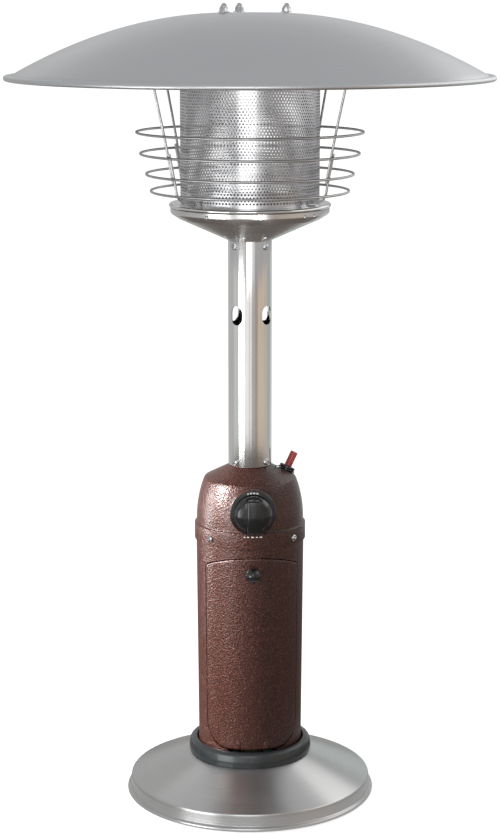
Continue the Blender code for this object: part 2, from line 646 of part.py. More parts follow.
def make_knob(finishes):
    axis_frame = facing((0, 0, KNOB_Z), (0, -1, 0))
    face = -BOSS_FACE_Y
    turned("knob_bezel", [(0.0050, face + GAP), (BEZEL_RADIUS, face + GAP),
                          (BEZEL_RADIUS, face + 0.0014), (BEZEL_RADIUS - 0.0006, face + 0.0020),
                          (0.0050, face + 0.0020)], finishes["black"], 32, axis_frame)
    back = face + 0.0020 + KNOB_TRAVEL + GAP
    front = -KNOB_FACE_Y
    profile = [(0, front - 0.0100), (0.0038, front - 0.0100), (0.0038, back), (KNOB_RADIUS, back),
               (KNOB_RADIUS, back + 0.0030), (KNOB_RADIUS - 0.0008, back + 0.0055),
               (KNOB_RADIUS - 0.0030, front - 0.0085), (0.0150, front - 0.0062), (0, front - 0.0055)]
    knob = turned("control_knob", profile, finishes["black"], 32, axis_frame, 0.37)
    grip = block("knob_grip", (-0.0098, KNOB_FACE_Y, KNOB_Z - 0.0205),
                 (0.0098, KNOB_FACE_Y + 0.0095, KNOB_Z + 0.0190), None, 0.0025)
    weld(knob, grip)
    turned("valve_stem", [(0, 0.0315), (0.0035, 0.0315), (0.0035, front - 0.0104), (0, front - 0.0104)],
           finishes["plated"], SMALL, axis_frame)


# ---------------------------------------------------------------- post
def make_post(finishes):
    inner = POST_RADIUS - POST_SHEET
    post = turned("post", [(POST_RADIUS, POST_BOTTOM), (POST_RADIUS, POST_TOP), (inner, POST_TOP),
                           (inner, POST_BOTTOM)], finishes["polished"], FINE)
    half_width = POST_HOLE_WIDTH / 2
    straight = (POST_HOLE_HEIGHT - POST_HOLE_WIDTH) / 2
    outline = [(u, v + straight) for u, v in arc(0, 0, half_width, 0, 180, 6)]
    outline += [(u, v - straight) for u, v in arc(0, 0, half_width, 180, 360, 6)]
    for index in range(2):
        direction = outward(45 + POST_TURN + 90 * index)
        sideways = Vector((0, 0, 1)).cross(direction)
        frame = Matrix.Translation((0, 0, POST_HOLE_Z)) @ Matrix(
            (sideways, Vector((0, 0, 1)), direction)).transposed().to_4x4()
        cut(post, prism(f"air_hole_{index}", outline, -0.040, 0.040, None, frame))
    socket_outer = inner - GAP
    flange_z = DOME_TOP - 0.0075
    flange_edge = 0.0295
    socket = turned("post_socket", [(socket_outer, 0.4380), (socket_outer - 0.0015, 0.4380),
                                    (socket_outer - 0.0015, flange_z - 0.0015), (flange_edge, flange_z - 0.0038),
                                    (flange_edge, flange_z - 0.0023), (socket_outer, flange_z)],
                    finishes["plated"], FINE)
    return post, socket


def pan_screw(name, finishes, point, direction, head_radius, length):
    """A pan-head screw standing on point, its shank running inwards."""
    turned(name, [(0, -length), (0.0018, -length), (0.0018, GAP), (head_radius, GAP),
                  (head_radius, 0.0011), (head_radius * 0.65, 0.0025), (0, 0.0028)],
           finishes["plated"], TINY, facing(point, direction))


def make_screws(finishes, dome, housing, post, socket, bowl):
    groups = (("housing_screw", HOUSING_SCREW_AZIMUTHS, BAND_RADIUS, HOUSING_SCREW_Z, (dome, housing), 0.0040),
              ("post_screw_low", (-45, 45, 135, 225), POST_RADIUS, POST_SCREW_LOW_Z, (post, socket), 0.0040),
              ("post_screw_top", tuple(HEAD_TURN + a for a in (-45, 45, 135, 225)), POST_RADIUS,
               POST_SCREW_TOP_Z, (post, bowl), 0.0040))
    for name, azimuths, radius, z, targets, head in groups:
        for index, azimuth in enumerate(azimuths):
            point = around(radius, azimuth, z)
            pan_screw(f"{name}_{index + 1}", finishes, point, outward(azimuth), head, 0.0065)
            for target in targets:
                cut(target, bar_tool(f"{name}_hole_{index + 1}_{target.name}", (0, 0, z),
                                     outward(azimuth), 0.0022, radius - 0.010, radius + 0.004, 8))


# ---------------------------------------------------------------- burner head
def make_burner(finishes):
    wall = 0.0010
    bead = 0.0024
    cone_rise = (BOWL_CREASE_Z - BOWL_FOOT_Z) / (BOWL_CREASE_RADIUS - BOWL_FOOT_RADIUS)
    neck_bottom = 0.6640
    lip_z = PLATE_TOP - 2 * bead - GAP
    outer = [(BOWL_NECK_RADIUS, neck_bottom), (BOWL_NECK_RADIUS, BOWL_FOOT_Z),
             (BOWL_FOOT_RADIUS, BOWL_FOOT_Z), (BOWL_CREASE_RADIUS, BOWL_CREASE_Z),
             (BOWL_SIDE_RADIUS, BOWL_SIDE_Z), (BOWL_LIP_RADIUS, lip_z)]
    inner = [(BOWL_LIP_RADIUS - wall, lip_z), (BOWL_SIDE_RADIUS - 1.2 * wall, BOWL_SIDE_Z + 0.4 * wall),
             (BOWL_CREASE_RADIUS - 0.7 * wall, BOWL_CREASE_Z + wall),
             (BOWL_NECK_RADIUS, BOWL_FOOT_Z + 1.8 * wall
              - (BOWL_FOOT_RADIUS - BOWL_NECK_RADIUS) * cone_rise),
             (BOWL_NECK_RADIUS - wall, BOWL_FOOT_Z), (BOWL_NECK_RADIUS - wall, neck_bottom)]
    bowl = turned("burner_bowl", outer + inner, finishes["polished"], FINE)
    for index in range(10):
        azimuth = HEAD_TURN - 10 + 36 * index
        spot = around(0.0400, azimuth, BOWL_FOOT_Z + (0.0400 - BOWL_FOOT_RADIUS) * cone_rise)
        sideways = Vector((0, 0, 1)).cross(outward(azimuth))
        direction = Vector((0, 0, 1))
        frame = Matrix.Translation(spot) @ Matrix(
            (sideways, outward(azimuth), direction)).transposed().to_4x4()
        slot = [(u * 1.9, v) for u, v in arc(0, 0, 0.0013, 20, 320, 5)]
        cut(bowl, prism(f"bowl_vent_{index}", slot, -0.008, 0.008, None, frame))

    plate = [(0.0600, PLATE_TOP), (PLATE_RADIUS - bead, PLATE_TOP)]
    plate += arc(PLATE_RADIUS - bead, PLATE_TOP - bead, bead, 75, -90, 4)
    plate += [(PLATE_RADIUS - 2 * bead, PLATE_TOP - SHEET - 0.0010),
              (PLATE_RADIUS - 2 * bead - 0.001, PLATE_TOP - SHEET), (0.0600, PLATE_TOP - SHEET)]
    turned("burner_plate", plate, finishes["polished"], FINE)

    turned("burner_head", [(0, 0.7100), (0.0043, 0.7100), (0.0043, 0.6990), (0.0095, 0.6990),
                           (0.0095, 0.7120), (0.0180, 0.7160), (0.0400, 0.7200), (0.0420, 0.7215),
                           (0.0420, 0.7350), (0.0400, 0.7370), (0.0150, 0.7410), (0, 0.7410)],
           finishes["cast"], MEDIUM)
    turned("pilot_burner", [(0, 0.7154), (0.0035, 0.7154), (0.0035, 0.7400), (0.0024, 0.7430),
                            (0.0024, 0.7470), (0, 0.7470)], finishes["brass"], SMALL,
           Matrix.Translation((0.0510, 0, 0)))
    turned("spark_electrode", [(0, 0.7160), (0.0030, 0.7160), (0.0030, 0.7420), (0.0010, 0.7440),
                               (0.0010, 0.7520), (0, 0.7520)], finishes["ceramic"], SMALL,
           Matrix.Translation(around(0.0520, 112, 0)))
    return bowl


def make_emitter(finishes):
    bottom = PLATE_TOP + GAP
    inner = EMITTER_RADIUS - EMITTER_SHEET
    turned("emitter", [(EMITTER_RADIUS, bottom), (EMITTER_RADIUS, EMITTER_TOP), (inner, EMITTER_TOP),
                       (inner, bottom)], finishes["brushed"], FINE)
    low = EMITTER_TOP + GAP
    cap = turned("emitter_cap", [(0, low), (0.0850, low), (0.0860, low + 0.0006), (0.0850, low + SHEET),
                                 (0, low + SHEET)], finishes["brushed"], FINE)
    return cap


def guard_line(z):
    """Radius of the guard's upright wires at a height: just inside the rings."""
    (low_r, low_z), (high_r, high_z) = GUARD_RINGS[0], GUARD_RINGS[-1]
    return low_r + (z - low_z) * (high_r - low_r) / (high_z - low_z) - 2 * GUARD_WIRE + 0.0012


def make_guard(finishes):
    """Four rings and four uprights of steel wire, welded into one basket. Each upright is two wires
    that lie side by side between the two middle rings."""
    pieces = []
    for index, (radius, z) in enumerate(GUARD_RINGS):
        path = [around(radius, 360 * step / 30, z) for step in range(30)]
        name = "wire_guard" if index == 0 else f"guard_ring_{index + 1}"
        finish = finishes["plated"] if index == 0 else None
        pieces.append(tube(name, path, GUARD_WIRE, finish, 5, closed=True))
    foot_z = PLATE_TOP + GUARD_WIRE + GAP
    cap_z = EMITTER_TOP + SHEET + GUARD_WIRE + 2 * GAP
    shift = math.degrees(0.0011 / 0.125)
    for index, azimuth in enumerate(GUARD_AZIMUTHS):
        lower_azimuth, upper_azimuth = azimuth + shift, azimuth - shift
        lower = smooth_path([around(0.0855, lower_azimuth, foot_z), around(0.0980, lower_azimuth, foot_z),
                             around(0.1070, lower_azimuth, foot_z + 0.0020),
                             around(guard_line(0.745), lower_azimuth, 0.745)], 0.006)
        lower.append(around(guard_line(0.796), lower_azimuth, 0.796))
        upper = [around(guard_line(0.762), upper_azimuth, 0.762)]
        top = guard_line(GUARD_SHOULDER_Z)
        upper += smooth_path([around(guard_line(0.820), upper_azimuth, 0.820),
                              around(guard_line(0.880) + GUARD_FLARE, upper_azimuth, 0.880),
                              around(top - 0.0010, upper_azimuth, GUARD_SHOULDER_Z),
                              around(top - 0.0100, upper_azimuth, cap_z - 0.0045),
                              around(top - 0.0220, upper_azimuth, cap_z),
                              around(0.0790, upper_azimuth, cap_z)], 0.012)
        pieces.append(tube(f"guard_lower_{index + 1}", lower, GUARD_WIRE, None, 5))
        pieces.append(tube(f"guard_upper_{index + 1}", upper, GUARD_WIRE, None, 5))
    for piece in pieces[1:]:
        weld(pieces[0], piece)


# ---------------------------------------------------------------- reflector
def reflector_height(radius):
    run = max(radius - REFLECTOR_FLAT_RADIUS, 0.0)
    return REFLECTOR_CROWN - REFLECTOR_FALL * run ** 2


def make_reflector(finishes, cap):
    radii = [0.025, 0.070, 0.115, 0.160, 0.200, 0.240, REFLECTOR_WALL_RADIUS]
    outer = [(0, REFLECTOR_CROWN)] + [(radius, reflector_height(radius)) for radius in radii]
    bead_r = REFLECTOR_RADIUS - REFLECTOR_BEAD
    rim = [(REFLECTOR_WALL_RADIUS + 0.0015, REFLECTOR_RIM_Z + 0.0024)]
    rim += arc(bead_r, REFLECTOR_RIM_Z, REFLECTOR_BEAD, 108, -108, 6)
    rim += [(REFLECTOR_WALL_RADIUS + 0.0005, REFLECTOR_RIM_Z + 0.0010)]
    inner = [(radius, reflector_height(radius) - SHEET) for radius in reversed(radii[:-1])]
    inner += [(0, REFLECTOR_CROWN - SHEET)]
    reflector = turned("reflector", outer + rim + inner, finishes["aluminium"], WIDE)
    cap_top = EMITTER_TOP + GAP + SHEET
    for index, azimuth in enumerate(STUD_AZIMUTHS):
        foot = around(STUD_CIRCLE, azimuth, 0)
        under = reflector_height(STUD_CIRCLE) - SHEET - 0.0016
        turned(f"reflector_stud_{index + 1}",
               [(0, cap_top - 0.0035), (0.0030, cap_top - 0.0035), (0.0030, cap_top + GAP),
                (0.0050, cap_top + GAP), (0.0050, under), (0.0030, under), (0.0030, OVERALL_HEIGHT - 0.0045),
                (0, OVERALL_HEIGHT - 0.0040)], finishes["plated"], TINY, Matrix.Translation(foot))
        nut_low = reflector_height(STUD_CIRCLE) + 0.0006
        turned(f"reflector_nut_{index + 1}",
               [(0, OVERALL_HEIGHT - 0.0030), (0.0033, OVERALL_HEIGHT - 0.0035), (0.0033, nut_low),
                (0.0070, nut_low), (0.0070, nut_low + 0.0010), (0.0056, nut_low + 0.0012),
                (0.0056, nut_low + 0.0050), (0.0047, nut_low + 0.0058), (0.0043, nut_low + 0.0080),
                (0.0028, OVERALL_HEIGHT - 0.0006), (0, OVERALL_HEIGHT)],
               finishes["plated"], TINY, Matrix.Translation(foot))
        for target in (reflector, cap):
            cut(target, bar_tool(f"stud_hole_{index + 1}_{target.name}", foot, (0, 0, 1), 0.0034,
                                 0.890, 0.970))


def main():
    for old in list(bpy.data.objects):
        bpy.data.objects.remove(old, do_unlink=True)
    finishes = make_materials()
    base = make_base(finishes)
    housing = make_housing(finishes)
    make_base_bolts(finishes, [base[0], base[1], housing])
    make_door(finishes)
    make_gas_supply(finishes)
    dome = make_valve_housing(finishes)
    make_igniter(finishes)
    make_knob(finishes)
    post, socket = make_post(finishes)
    bowl = make_burner(finishes)
    make_screws(finishes, dome, housing, post, socket, bowl)
    cap = make_emitter(finishes)
    make_guard(finishes)
    make_reflector(finishes, cap)


main()
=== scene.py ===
"""Looks of the table-top gas patio heater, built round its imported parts.

Metres, +Z up. The heater's axis is Z, and its knob and door face -Y. An azimuth is an angle round the
axis, from the front towards +X. An outline is a list of (r, z) corners, each with its own rounding.
"""
import json
import math

import bmesh
import bpy
from mathutils import Matrix, Vector

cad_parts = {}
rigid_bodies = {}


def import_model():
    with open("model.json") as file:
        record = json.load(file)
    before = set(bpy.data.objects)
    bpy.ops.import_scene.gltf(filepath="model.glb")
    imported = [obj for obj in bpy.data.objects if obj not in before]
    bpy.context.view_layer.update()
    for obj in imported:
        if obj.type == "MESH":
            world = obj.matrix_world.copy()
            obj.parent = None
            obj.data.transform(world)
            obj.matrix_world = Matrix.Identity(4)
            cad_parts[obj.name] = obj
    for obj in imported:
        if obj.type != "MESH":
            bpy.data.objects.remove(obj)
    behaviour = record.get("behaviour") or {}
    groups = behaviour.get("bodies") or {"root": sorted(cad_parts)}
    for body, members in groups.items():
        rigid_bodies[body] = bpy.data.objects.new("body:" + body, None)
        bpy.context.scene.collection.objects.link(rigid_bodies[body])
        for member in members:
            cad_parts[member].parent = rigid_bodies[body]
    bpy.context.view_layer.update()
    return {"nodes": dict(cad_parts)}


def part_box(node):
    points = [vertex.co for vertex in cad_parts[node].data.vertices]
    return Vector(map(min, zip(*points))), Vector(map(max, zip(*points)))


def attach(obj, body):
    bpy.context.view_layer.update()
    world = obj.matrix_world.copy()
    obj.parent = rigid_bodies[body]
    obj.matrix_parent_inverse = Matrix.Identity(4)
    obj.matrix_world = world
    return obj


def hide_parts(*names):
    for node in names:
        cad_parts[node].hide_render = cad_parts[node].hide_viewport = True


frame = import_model()

FINE = 192                       # sides of the widest turned pieces
ROUND = 128                      # sides of the body's turned pieces
SMALL = 48
GAP = 0.0003
UP = Vector((0, 0, 1))
FRONT = Vector((0, -1, 0))


def low_z(node):
    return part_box(node)[0].z


def high_z(node):
    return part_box(node)[1].z


def half_width(node):
    low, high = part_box(node)
    return (high.x - low.x) / 2


# ---------------------------------------------------------------- points, outlines and paths
def around(radius, azimuth_deg, z=0.0):
    angle = math.radians(azimuth_deg)
    return Vector((radius * math.sin(angle), -radius * math.cos(angle), z))


def outwards(azimuth_deg):
    return around(1.0, azimuth_deg)


def facing(centre, direction):
    """A frame at centre whose Z axis points along direction."""
    return Matrix.Translation(centre) @ Vector(direction).to_track_quat('Z', 'Y').to_matrix().to_4x4()


def axes_at(centre, along_u, along_v, normal):
    """A frame at centre with its axes along three directions."""
    return Matrix.Translation(centre) @ Matrix((along_u, along_v, normal)).transposed().to_4x4()


def arc(centre_r, centre_z, radius, start_deg, end_deg, steps):
    points = []
    for step in range(steps + 1):
        angle = math.radians(start_deg + (end_deg - start_deg) * step / steps)
        points.append((centre_r + radius * math.cos(angle), centre_z + radius * math.sin(angle)))
    return points


def rounded(corners, steps=5):
    """Round the corners of an outline. A corner is (r, z), or (r, z, radius of its rounding)."""
    points = []
    for index, corner in enumerate(corners):
        here = Vector(corner[:2])
        if len(corner) == 2:
            points.append(tuple(here))
            continue
        back = Vector(corners[index - 1][:2]) - here
        ahead = Vector(corners[(index + 1) % len(corners)][:2]) - here
        half = back.angle(ahead) / 2
        if half > math.radians(89.5):
            points.append(tuple(here))
            continue
        reach = min(corner[2] / math.tan(half), 0.49 * back.length, 0.49 * ahead.length)
        start = here + back.normalized() * reach
        end = here + ahead.normalized() * reach
        inwards = (back.normalized() + ahead.normalized()).normalized()
        centre = here + inwards * reach / math.cos(half)
        for step in range(steps + 1):
            spoke = (start - centre).lerp(end - centre, step / steps)
            spoke.length = (start - centre).length
            points.append(tuple(centre + spoke))
    return points


def smooth_path(points, spacing):
    """A Catmull-Rom curve through the points, sampled about every spacing metres."""
    route = [Vector(point) for point in points]
    route = [2 * route[0] - route[1]] + route + [2 * route[-1] - route[-2]]
    path = []
    for index in range(1, len(route) - 2):
        before, start, end, after = route[index - 1:index + 3]
        steps = max(1, round((end - start).length / spacing))
        for step in range(steps):
            t = step / steps
            path.append(0.5 * (2 * start + (end - before) * t
                               + (2 * before - 5 * start + 4 * end - after) * t ** 2
                               + (3 * start - before - 3 * end + after) * t ** 3))
    path.append(route[-2])
    return path


# ---------------------------------------------------------------- meshes
def mesh_object(name, bm, sharp_deg=32):
    bmesh.ops.recalc_face_normals(bm, faces=bm.faces)
    mesh = bpy.data.meshes.new(name)
    bm.to_mesh(mesh)
    bm.free()
    made = bpy.data.objects.new(name, mesh)
    bpy.context.scene.collection.objects.link(made)
    shade(made, sharp_deg)
    return made


def shade(made, sharp_deg=32):
    made.data.shade_smooth()
    made.data.set_sharp_from_angle(angle=math.radians(sharp_deg))


def spin(bm, profile, sides, place=None, twist=0.0):
    """Turn an outline about Z into bm. One that starts and ends on the axis makes a solid; any other is
    closed into a hollow ring."""
    rings = []
    for radius, z in profile:
        turns = 1 if radius < 1e-6 else sides
        ring = [around(radius, 360 * (side + twist) / sides, z) for side in range(turns)]
        rings.append([bm.verts.new(place @ point if place else point) for point in ring])
    pairs = list(zip(rings, rings[1:]))
    if profile[0][0] > 1e-6:
        pairs.append((rings[-1], rings[0]))
    for lower, upper in pairs:
        for side in range(sides):
            after = (side + 1) % sides
            if len(lower) == 1:
                bm.faces.new((lower[0], upper[after], upper[side]))
            elif len(upper) == 1:
                bm.faces.new((lower[side], lower[after], upper[0]))
            else:
                bm.faces.new((lower[side], lower[after], upper[after], upper[side]))


def turned(name, corners, sides=ROUND, place=None, twist=0.0, sharp_deg=32):
    bm = bmesh.new()
    spin(bm, rounded(corners), sides, place, twist)
    return mesh_object(name, bm, sharp_deg)


def sweep(bm, path, radius, sides=10, closed=False):
    """A round bar along a path, as one closed shell in bm."""
    count = len(path)
    rings = []
    side_way = Vector((0, 0, 1)) if closed else None
    for index, point in enumerate(path):
        if closed:
            ahead = path[(index + 1) % count] - path[index - 1]
        else:
            ahead = path[min(index + 1, count - 1)] - path[max(index - 1, 0)]
        ahead.normalize()
        if side_way is None:
            side_way = ahead.orthogonal()
        side_way = (side_way - ahead * side_way.dot(ahead)).normalized()
        up_way = ahead.cross(side_way)
        ring = []
        for side in range(sides):
            angle = 2 * math.pi * side / sides
            spoke = side_way * math.cos(angle) + up_way * math.sin(angle)
            ring.append(bm.verts.new(point + radius * spoke))
        rings.append(ring)
    pairs = list(zip(rings, rings[1:]))
    if closed:
        pairs.append((rings[-1], rings[0]))
    for first, second in pairs:
        for side in range(sides):
            after = (side + 1) % sides
            bm.faces.new((first[side], first[after], second[after], second[side]))
    if not closed:
        bm.faces.new(list(reversed(rings[0])))
        bm.faces.new(rings[-1])


def box_mesh(bm, low, high, bevel=0.0, segments=3, place=None):
    made = bmesh.ops.create_cube(bm, size=1.0)["verts"]
    low, high = Vector(low), Vector(high)
    for vert in made:
        vert.co = Vector((low[i] + (vert.co[i] + 0.5) * (high[i] - low[i]) for i in range(3)))
    if bevel:
        edges = list({edge for vert in made for edge in vert.link_edges})
        made = bmesh.ops.bevel(bm, geom=edges, offset=bevel, segments=segments, affect='EDGES',
                               profile=0.5)["verts"]
    if place:
        bmesh.ops.transform(bm, matrix=place, verts=made)


def prism(name, outline, start, end, place):
    """Extrude an outline of (u, v) points from start to end along the third axis of place."""
    bm = bmesh.new()
    near = [bm.verts.new((u, v, start)) for u, v in outline]
    far = [bm.verts.new((u, v, end)) for u, v in outline]
    bm.faces.new(list(reversed(near)))
    bm.faces.new(far)
    for index in range(len(outline)):
        after = (index + 1) % len(outline)
        bm.faces.new((near[index], near[after], far[after], far[index]))
    bmesh.ops.transform(bm, matrix=place, verts=bm.verts)
    return mesh_object(name, bm)


def combine(target, tool, operation, sharp_deg=32):
    """Cut or join target with tool at once, and throw the tool away."""
    modifier = target.modifiers.new("combine", 'BOOLEAN')
    modifier.operation = operation
    modifier.solver = 'EXACT'
    modifier.object = tool
    apply_modifiers(target)
    bpy.data.objects.remove(tool)
    shade(target, sharp_deg)


def apply_modifiers(target):
    settled = target.evaluated_get(bpy.context.evaluated_depsgraph_get())
    mesh = bpy.data.meshes.new_from_object(settled)
    target.modifiers.clear()
    target.data = mesh


# ---------------------------------------------------------------- material nodes
def add_node(tree, kind, inputs=None, **settings):
    node = tree.nodes.new(f"ShaderNode{kind}")
    for key, value in settings.items():
        setattr(node, key, value)
    for socket, value in (inputs or {}).items():
        if isinstance(value, bpy.types.NodeSocket):
            tree.links.new(value, node.inputs[socket])
        else:
            node.inputs[socket].default_value = value
    return node


def new_material(name, colour, roughness, metallic=0.0, **values):
    made = bpy.data.materials.new(name)
    made.use_nodes = True
    shader = made.node_tree.nodes["Principled BSDF"]
    shader.inputs["Base Color"].default_value = (*colour, 1.0)
    shader.inputs["Roughness"].default_value = roughness
    shader.inputs["Metallic"].default_value = metallic
    for socket, value in values.items():
        shader.inputs[socket.replace("_", " ")].default_value = value
    return made, made.node_tree, shader


def object_point(tree):
    return add_node(tree, "TexCoord").outputs["Object"]


def noise(tree, point, scale, detail=2.0, roughness=0.5):
    return add_node(tree, "TexNoise", {"Vector": point, "Scale": scale, "Detail": detail,
                                       "Roughness": roughness}).outputs["Fac"]


def stretch(tree, point, factors):
    return add_node(tree, "VectorMath", {0: point, 1: factors}, operation='MULTIPLY').outputs[0]


def spun_point(tree, radial, vertical):
    """(radius, height) of the shading point, so that a texture on it runs in rings round the axis."""
    point = object_point(tree)
    flat = stretch(tree, point, (1.0, 1.0, 0.0))
    radius = add_node(tree, "VectorMath", {0: flat}, operation='LENGTH').outputs["Value"]
    height = add_node(tree, "SeparateXYZ", {0: point}).outputs["Z"]
    pair = add_node(tree, "CombineXYZ", {"X": radius, "Y": height}).outputs[0]
    return stretch(tree, pair, (radial, vertical, 1.0))


def spread(tree, value, low, high, from_low=0.3, from_high=0.7):
    """A texture value brought to a range."""
    return add_node(tree, "MapRange", {"Value": value, "From Min": from_low, "From Max": from_high,
                                       "To Min": low, "To Max": high}).outputs["Result"]


def blend_colours(tree, factor, first, second):
    mix = add_node(tree, "Mix", {0: factor}, data_type='RGBA')
    mix.inputs[6].default_value = (*first, 1.0)
    mix.inputs[7].default_value = (*second, 1.0)
    return mix.outputs[2]


def add_bump(tree, shader, height, distance, strength=1.0, under=None, socket="Normal"):
    inputs = {"Height": height, "Distance": distance, "Strength": strength}
    if under:
        inputs["Normal"] = under
    normal = add_node(tree, "Bump", inputs).outputs["Normal"]
    tree.links.new(normal, shader.inputs[socket])
    return normal


def link_looks(tree, shader, colour, roughness):
    tree.links.new(colour, shader.inputs["Base Color"])
    tree.links.new(roughness, shader.inputs["Roughness"])


def add_turned_tangent(tree, shader):
    tangent = add_node(tree, "Tangent", direction_type='RADIAL', axis='Z').outputs["Tangent"]
    tree.links.new(tangent, shader.inputs["Tangent"])
    shader.inputs["Anisotropic Rotation"].default_value = 0.25


# ---------------------------------------------------------------- the finishes
def hammered_bronze():
    """Hammer-finish powder coat: glossy dimples about 2.5 mm wide, with copper flakes in the paint."""
    made, tree, shader = new_material("hammered_bronze", (0.05, 0.02, 0.013), 0.32, 0.30, Coat_Weight=0.35,
                                      Coat_Roughness=0.13)
    point = object_point(tree)
    warp = add_node(tree, "TexNoise", {"Vector": point, "Scale": 300.0, "Detail": 1.0}).outputs["Color"]
    shift = stretch(tree, warp, (0.0014, 0.0014, 0.0014))
    bent = add_node(tree, "VectorMath", {0: point, 1: shift}, operation='ADD').outputs[0]
    cells = add_node(tree, "TexVoronoi", {"Vector": bent, "Scale": 500.0, "Smoothness": 0.5},
                     feature='SMOOTH_F1')
    dimple = cells.outputs["Distance"]
    flake = spread(tree, noise(tree, point, 900.0, 2.0), 0.0, 1.0, 0.50, 0.72)
    ridge = spread(tree, dimple, 0.25, 1.0, 0.15, 0.60)
    copper = add_node(tree, "Math", {0: ridge, 1: flake}, operation='MULTIPLY').outputs[0]
    colour = blend_colours(tree, copper, (0.030, 0.0066, 0.0044), (0.17, 0.066, 0.042))
    link_looks(tree, shader, colour, spread(tree, noise(tree, point, 26.0), 0.29, 0.37))
    add_bump(tree, shader, dimple, 0.00052)
    add_bump(tree, shader, dimple, 0.00024, socket="Coat Normal")
    return made


def spun_metal(name, colour, roughness, anisotropy, ring_scale, depth):
    """Sheet spun on a lathe: fine rings round the axis, with a faint cloudiness."""
    made, tree, shader = new_material(name, colour, roughness, 1.0, Anisotropic=anisotropy)
    add_turned_tangent(tree, shader)
    lines = noise(tree, spun_point(tree, ring_scale, ring_scale), 1.0, 3.0, 0.6)
    cloud = noise(tree, object_point(tree), 9.0, 3.0)
    darker = tuple(0.90 * part for part in colour)
    tint = blend_colours(tree, spread(tree, lines, 0.0, 1.0), darker, colour)
    blur = add_node(tree, "Math", {0: spread(tree, lines, roughness - 0.04, roughness + 0.05),
                                   1: spread(tree, cloud, -0.02, 0.03)}, operation='ADD').outputs[0]
    link_looks(tree, shader, tint, blur)
    add_bump(tree, shader, lines, depth)
    return made


def polished_steel():
    """Belt-polished stainless steel: almost a mirror, with hairlines round the part and faint smears."""
    made, tree, shader = new_material("polished_steel", (0.80, 0.80, 0.79), 0.10, 1.0, Anisotropic=0.35)
    add_turned_tangent(tree, shader)
    point = object_point(tree)
    lines = noise(tree, stretch(tree, point, (40.0, 40.0, 3600.0)), 1.0, 2.0)
    smear = noise(tree, stretch(tree, point, (30.0, 30.0, 7.0)), 1.0, 4.0, 0.6)
    tint = blend_colours(tree, spread(tree, smear, 0.0, 1.0), (0.74, 0.74, 0.73), (0.84, 0.84, 0.83))
    link_looks(tree, shader, tint, spread(tree, smear, 0.07, 0.15))
    first = add_bump(tree, shader, smear, 0.00020, 0.35)
    add_bump(tree, shader, lines, 0.000006, under=first)
    return made


def bright_metal(name, colour, roughness, grain=900.0, depth=0.00001):
    """Plain plated, drawn or cast metal with a fine grain."""
    made, tree, shader = new_material(name, colour, roughness, 1.0)
    point = object_point(tree)
    fine = noise(tree, point, grain, 3.0, 0.6)
    patch = noise(tree, point, 60.0, 2.0)
    darker = tuple(0.80 * part for part in colour)
    tint = blend_colours(tree, spread(tree, patch, 0.0, 1.0), darker, colour)
    link_looks(tree, shader, tint, spread(tree, fine, roughness - 0.05, roughness + 0.07))
    add_bump(tree, shader, fine, depth)
    return made


def moulded(name, colour, roughness, grain=700.0, depth=0.00003, coat=0.0):
    """Moulded plastic, rubber, paint or glaze: its sheen wanders a little and its skin has a fine grain."""
    made, tree, shader = new_material(name, colour, roughness, Coat_Weight=coat, Coat_Roughness=0.05)
    point = object_point(tree)
    fine = noise(tree, point, grain, 2.0)
    patch = noise(tree, point, 90.0, 3.0, 0.6)
    lighter = tuple(min(1.0, 1.25 * part + 0.002) for part in colour)
    tint = blend_colours(tree, spread(tree, patch, 0.0, 1.0), colour, lighter)
    link_looks(tree, shader, tint, spread(tree, patch, roughness - 0.04, roughness + 0.06))
    add_bump(tree, shader, fine, depth)
    return made


SPUN = {                         # colour, roughness, anisotropy, rings in a metre, depth
    "brushed_base": ((0.66, 0.66, 0.655), 0.30, 0.75, 2600.0, 0.000012),
    "satin_aluminium": ((0.68, 0.69, 0.70), 0.42, 0.35, 1800.0, 0.000008),
    "bowl_steel": ((0.74, 0.73, 0.72), 0.24, 0.6, 2200.0, 0.000006),
}
PLAIN = {                        # colour, roughness, grain, depth
    "emitter_steel": ((0.74, 0.74, 0.75), 0.24, 900.0, 0.000002),
    "guard_wire": ((0.62, 0.62, 0.62), 0.40),
    "zinc_plated": ((0.74, 0.74, 0.75), 0.22),
    "cast_zinc": ((0.42, 0.42, 0.43), 0.48, 1400.0, 0.00005),
    "brass": ((0.72, 0.52, 0.22), 0.28),
}
MOULDED = {                      # colour, roughness, grain, depth, coat
    "black_plastic": ((0.0055, 0.006, 0.0065), 0.20, 700.0, 0.00001, 0.4),
    "black_ring": ((0.020, 0.024, 0.026), 0.30, 500.0, 0.00005, 0.3),
    "red_plastic": ((0.38, 0.024, 0.024), 0.32, 700.0, 0.00003, 0.3),
    "rubber": ((0.022, 0.022, 0.022), 0.75, 1200.0, 0.00008),
    "painted_iron": ((0.045, 0.045, 0.045), 0.55, 260.0, 0.00025),
    "cylinder_paint": ((0.13, 0.25, 0.15), 0.30, 300.0, 0.00004, 0.4),
    "ceramic": ((0.82, 0.81, 0.77), 0.28, 900.0, 0.00002, 0.3),
    "white_mark": ((0.80, 0.80, 0.78), 0.40),
}
FINISHES = {"hammered_bronze": hammered_bronze(), "polished_steel": polished_steel()}
for maker, finishes in ((spun_metal, SPUN), (bright_metal, PLAIN), (moulded, MOULDED)):
    for finish_name, values in finishes.items():
        FINISHES[finish_name] = maker(finish_name, *values)


def dress(piece, slot, *nodes, body="stand", finish=None):
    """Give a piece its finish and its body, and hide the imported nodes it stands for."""
    piece.data.materials.clear()
    piece.data.materials.append(FINISHES[finish or slot])
    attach(piece, body)
    if nodes:
        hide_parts(*nodes)
    return piece


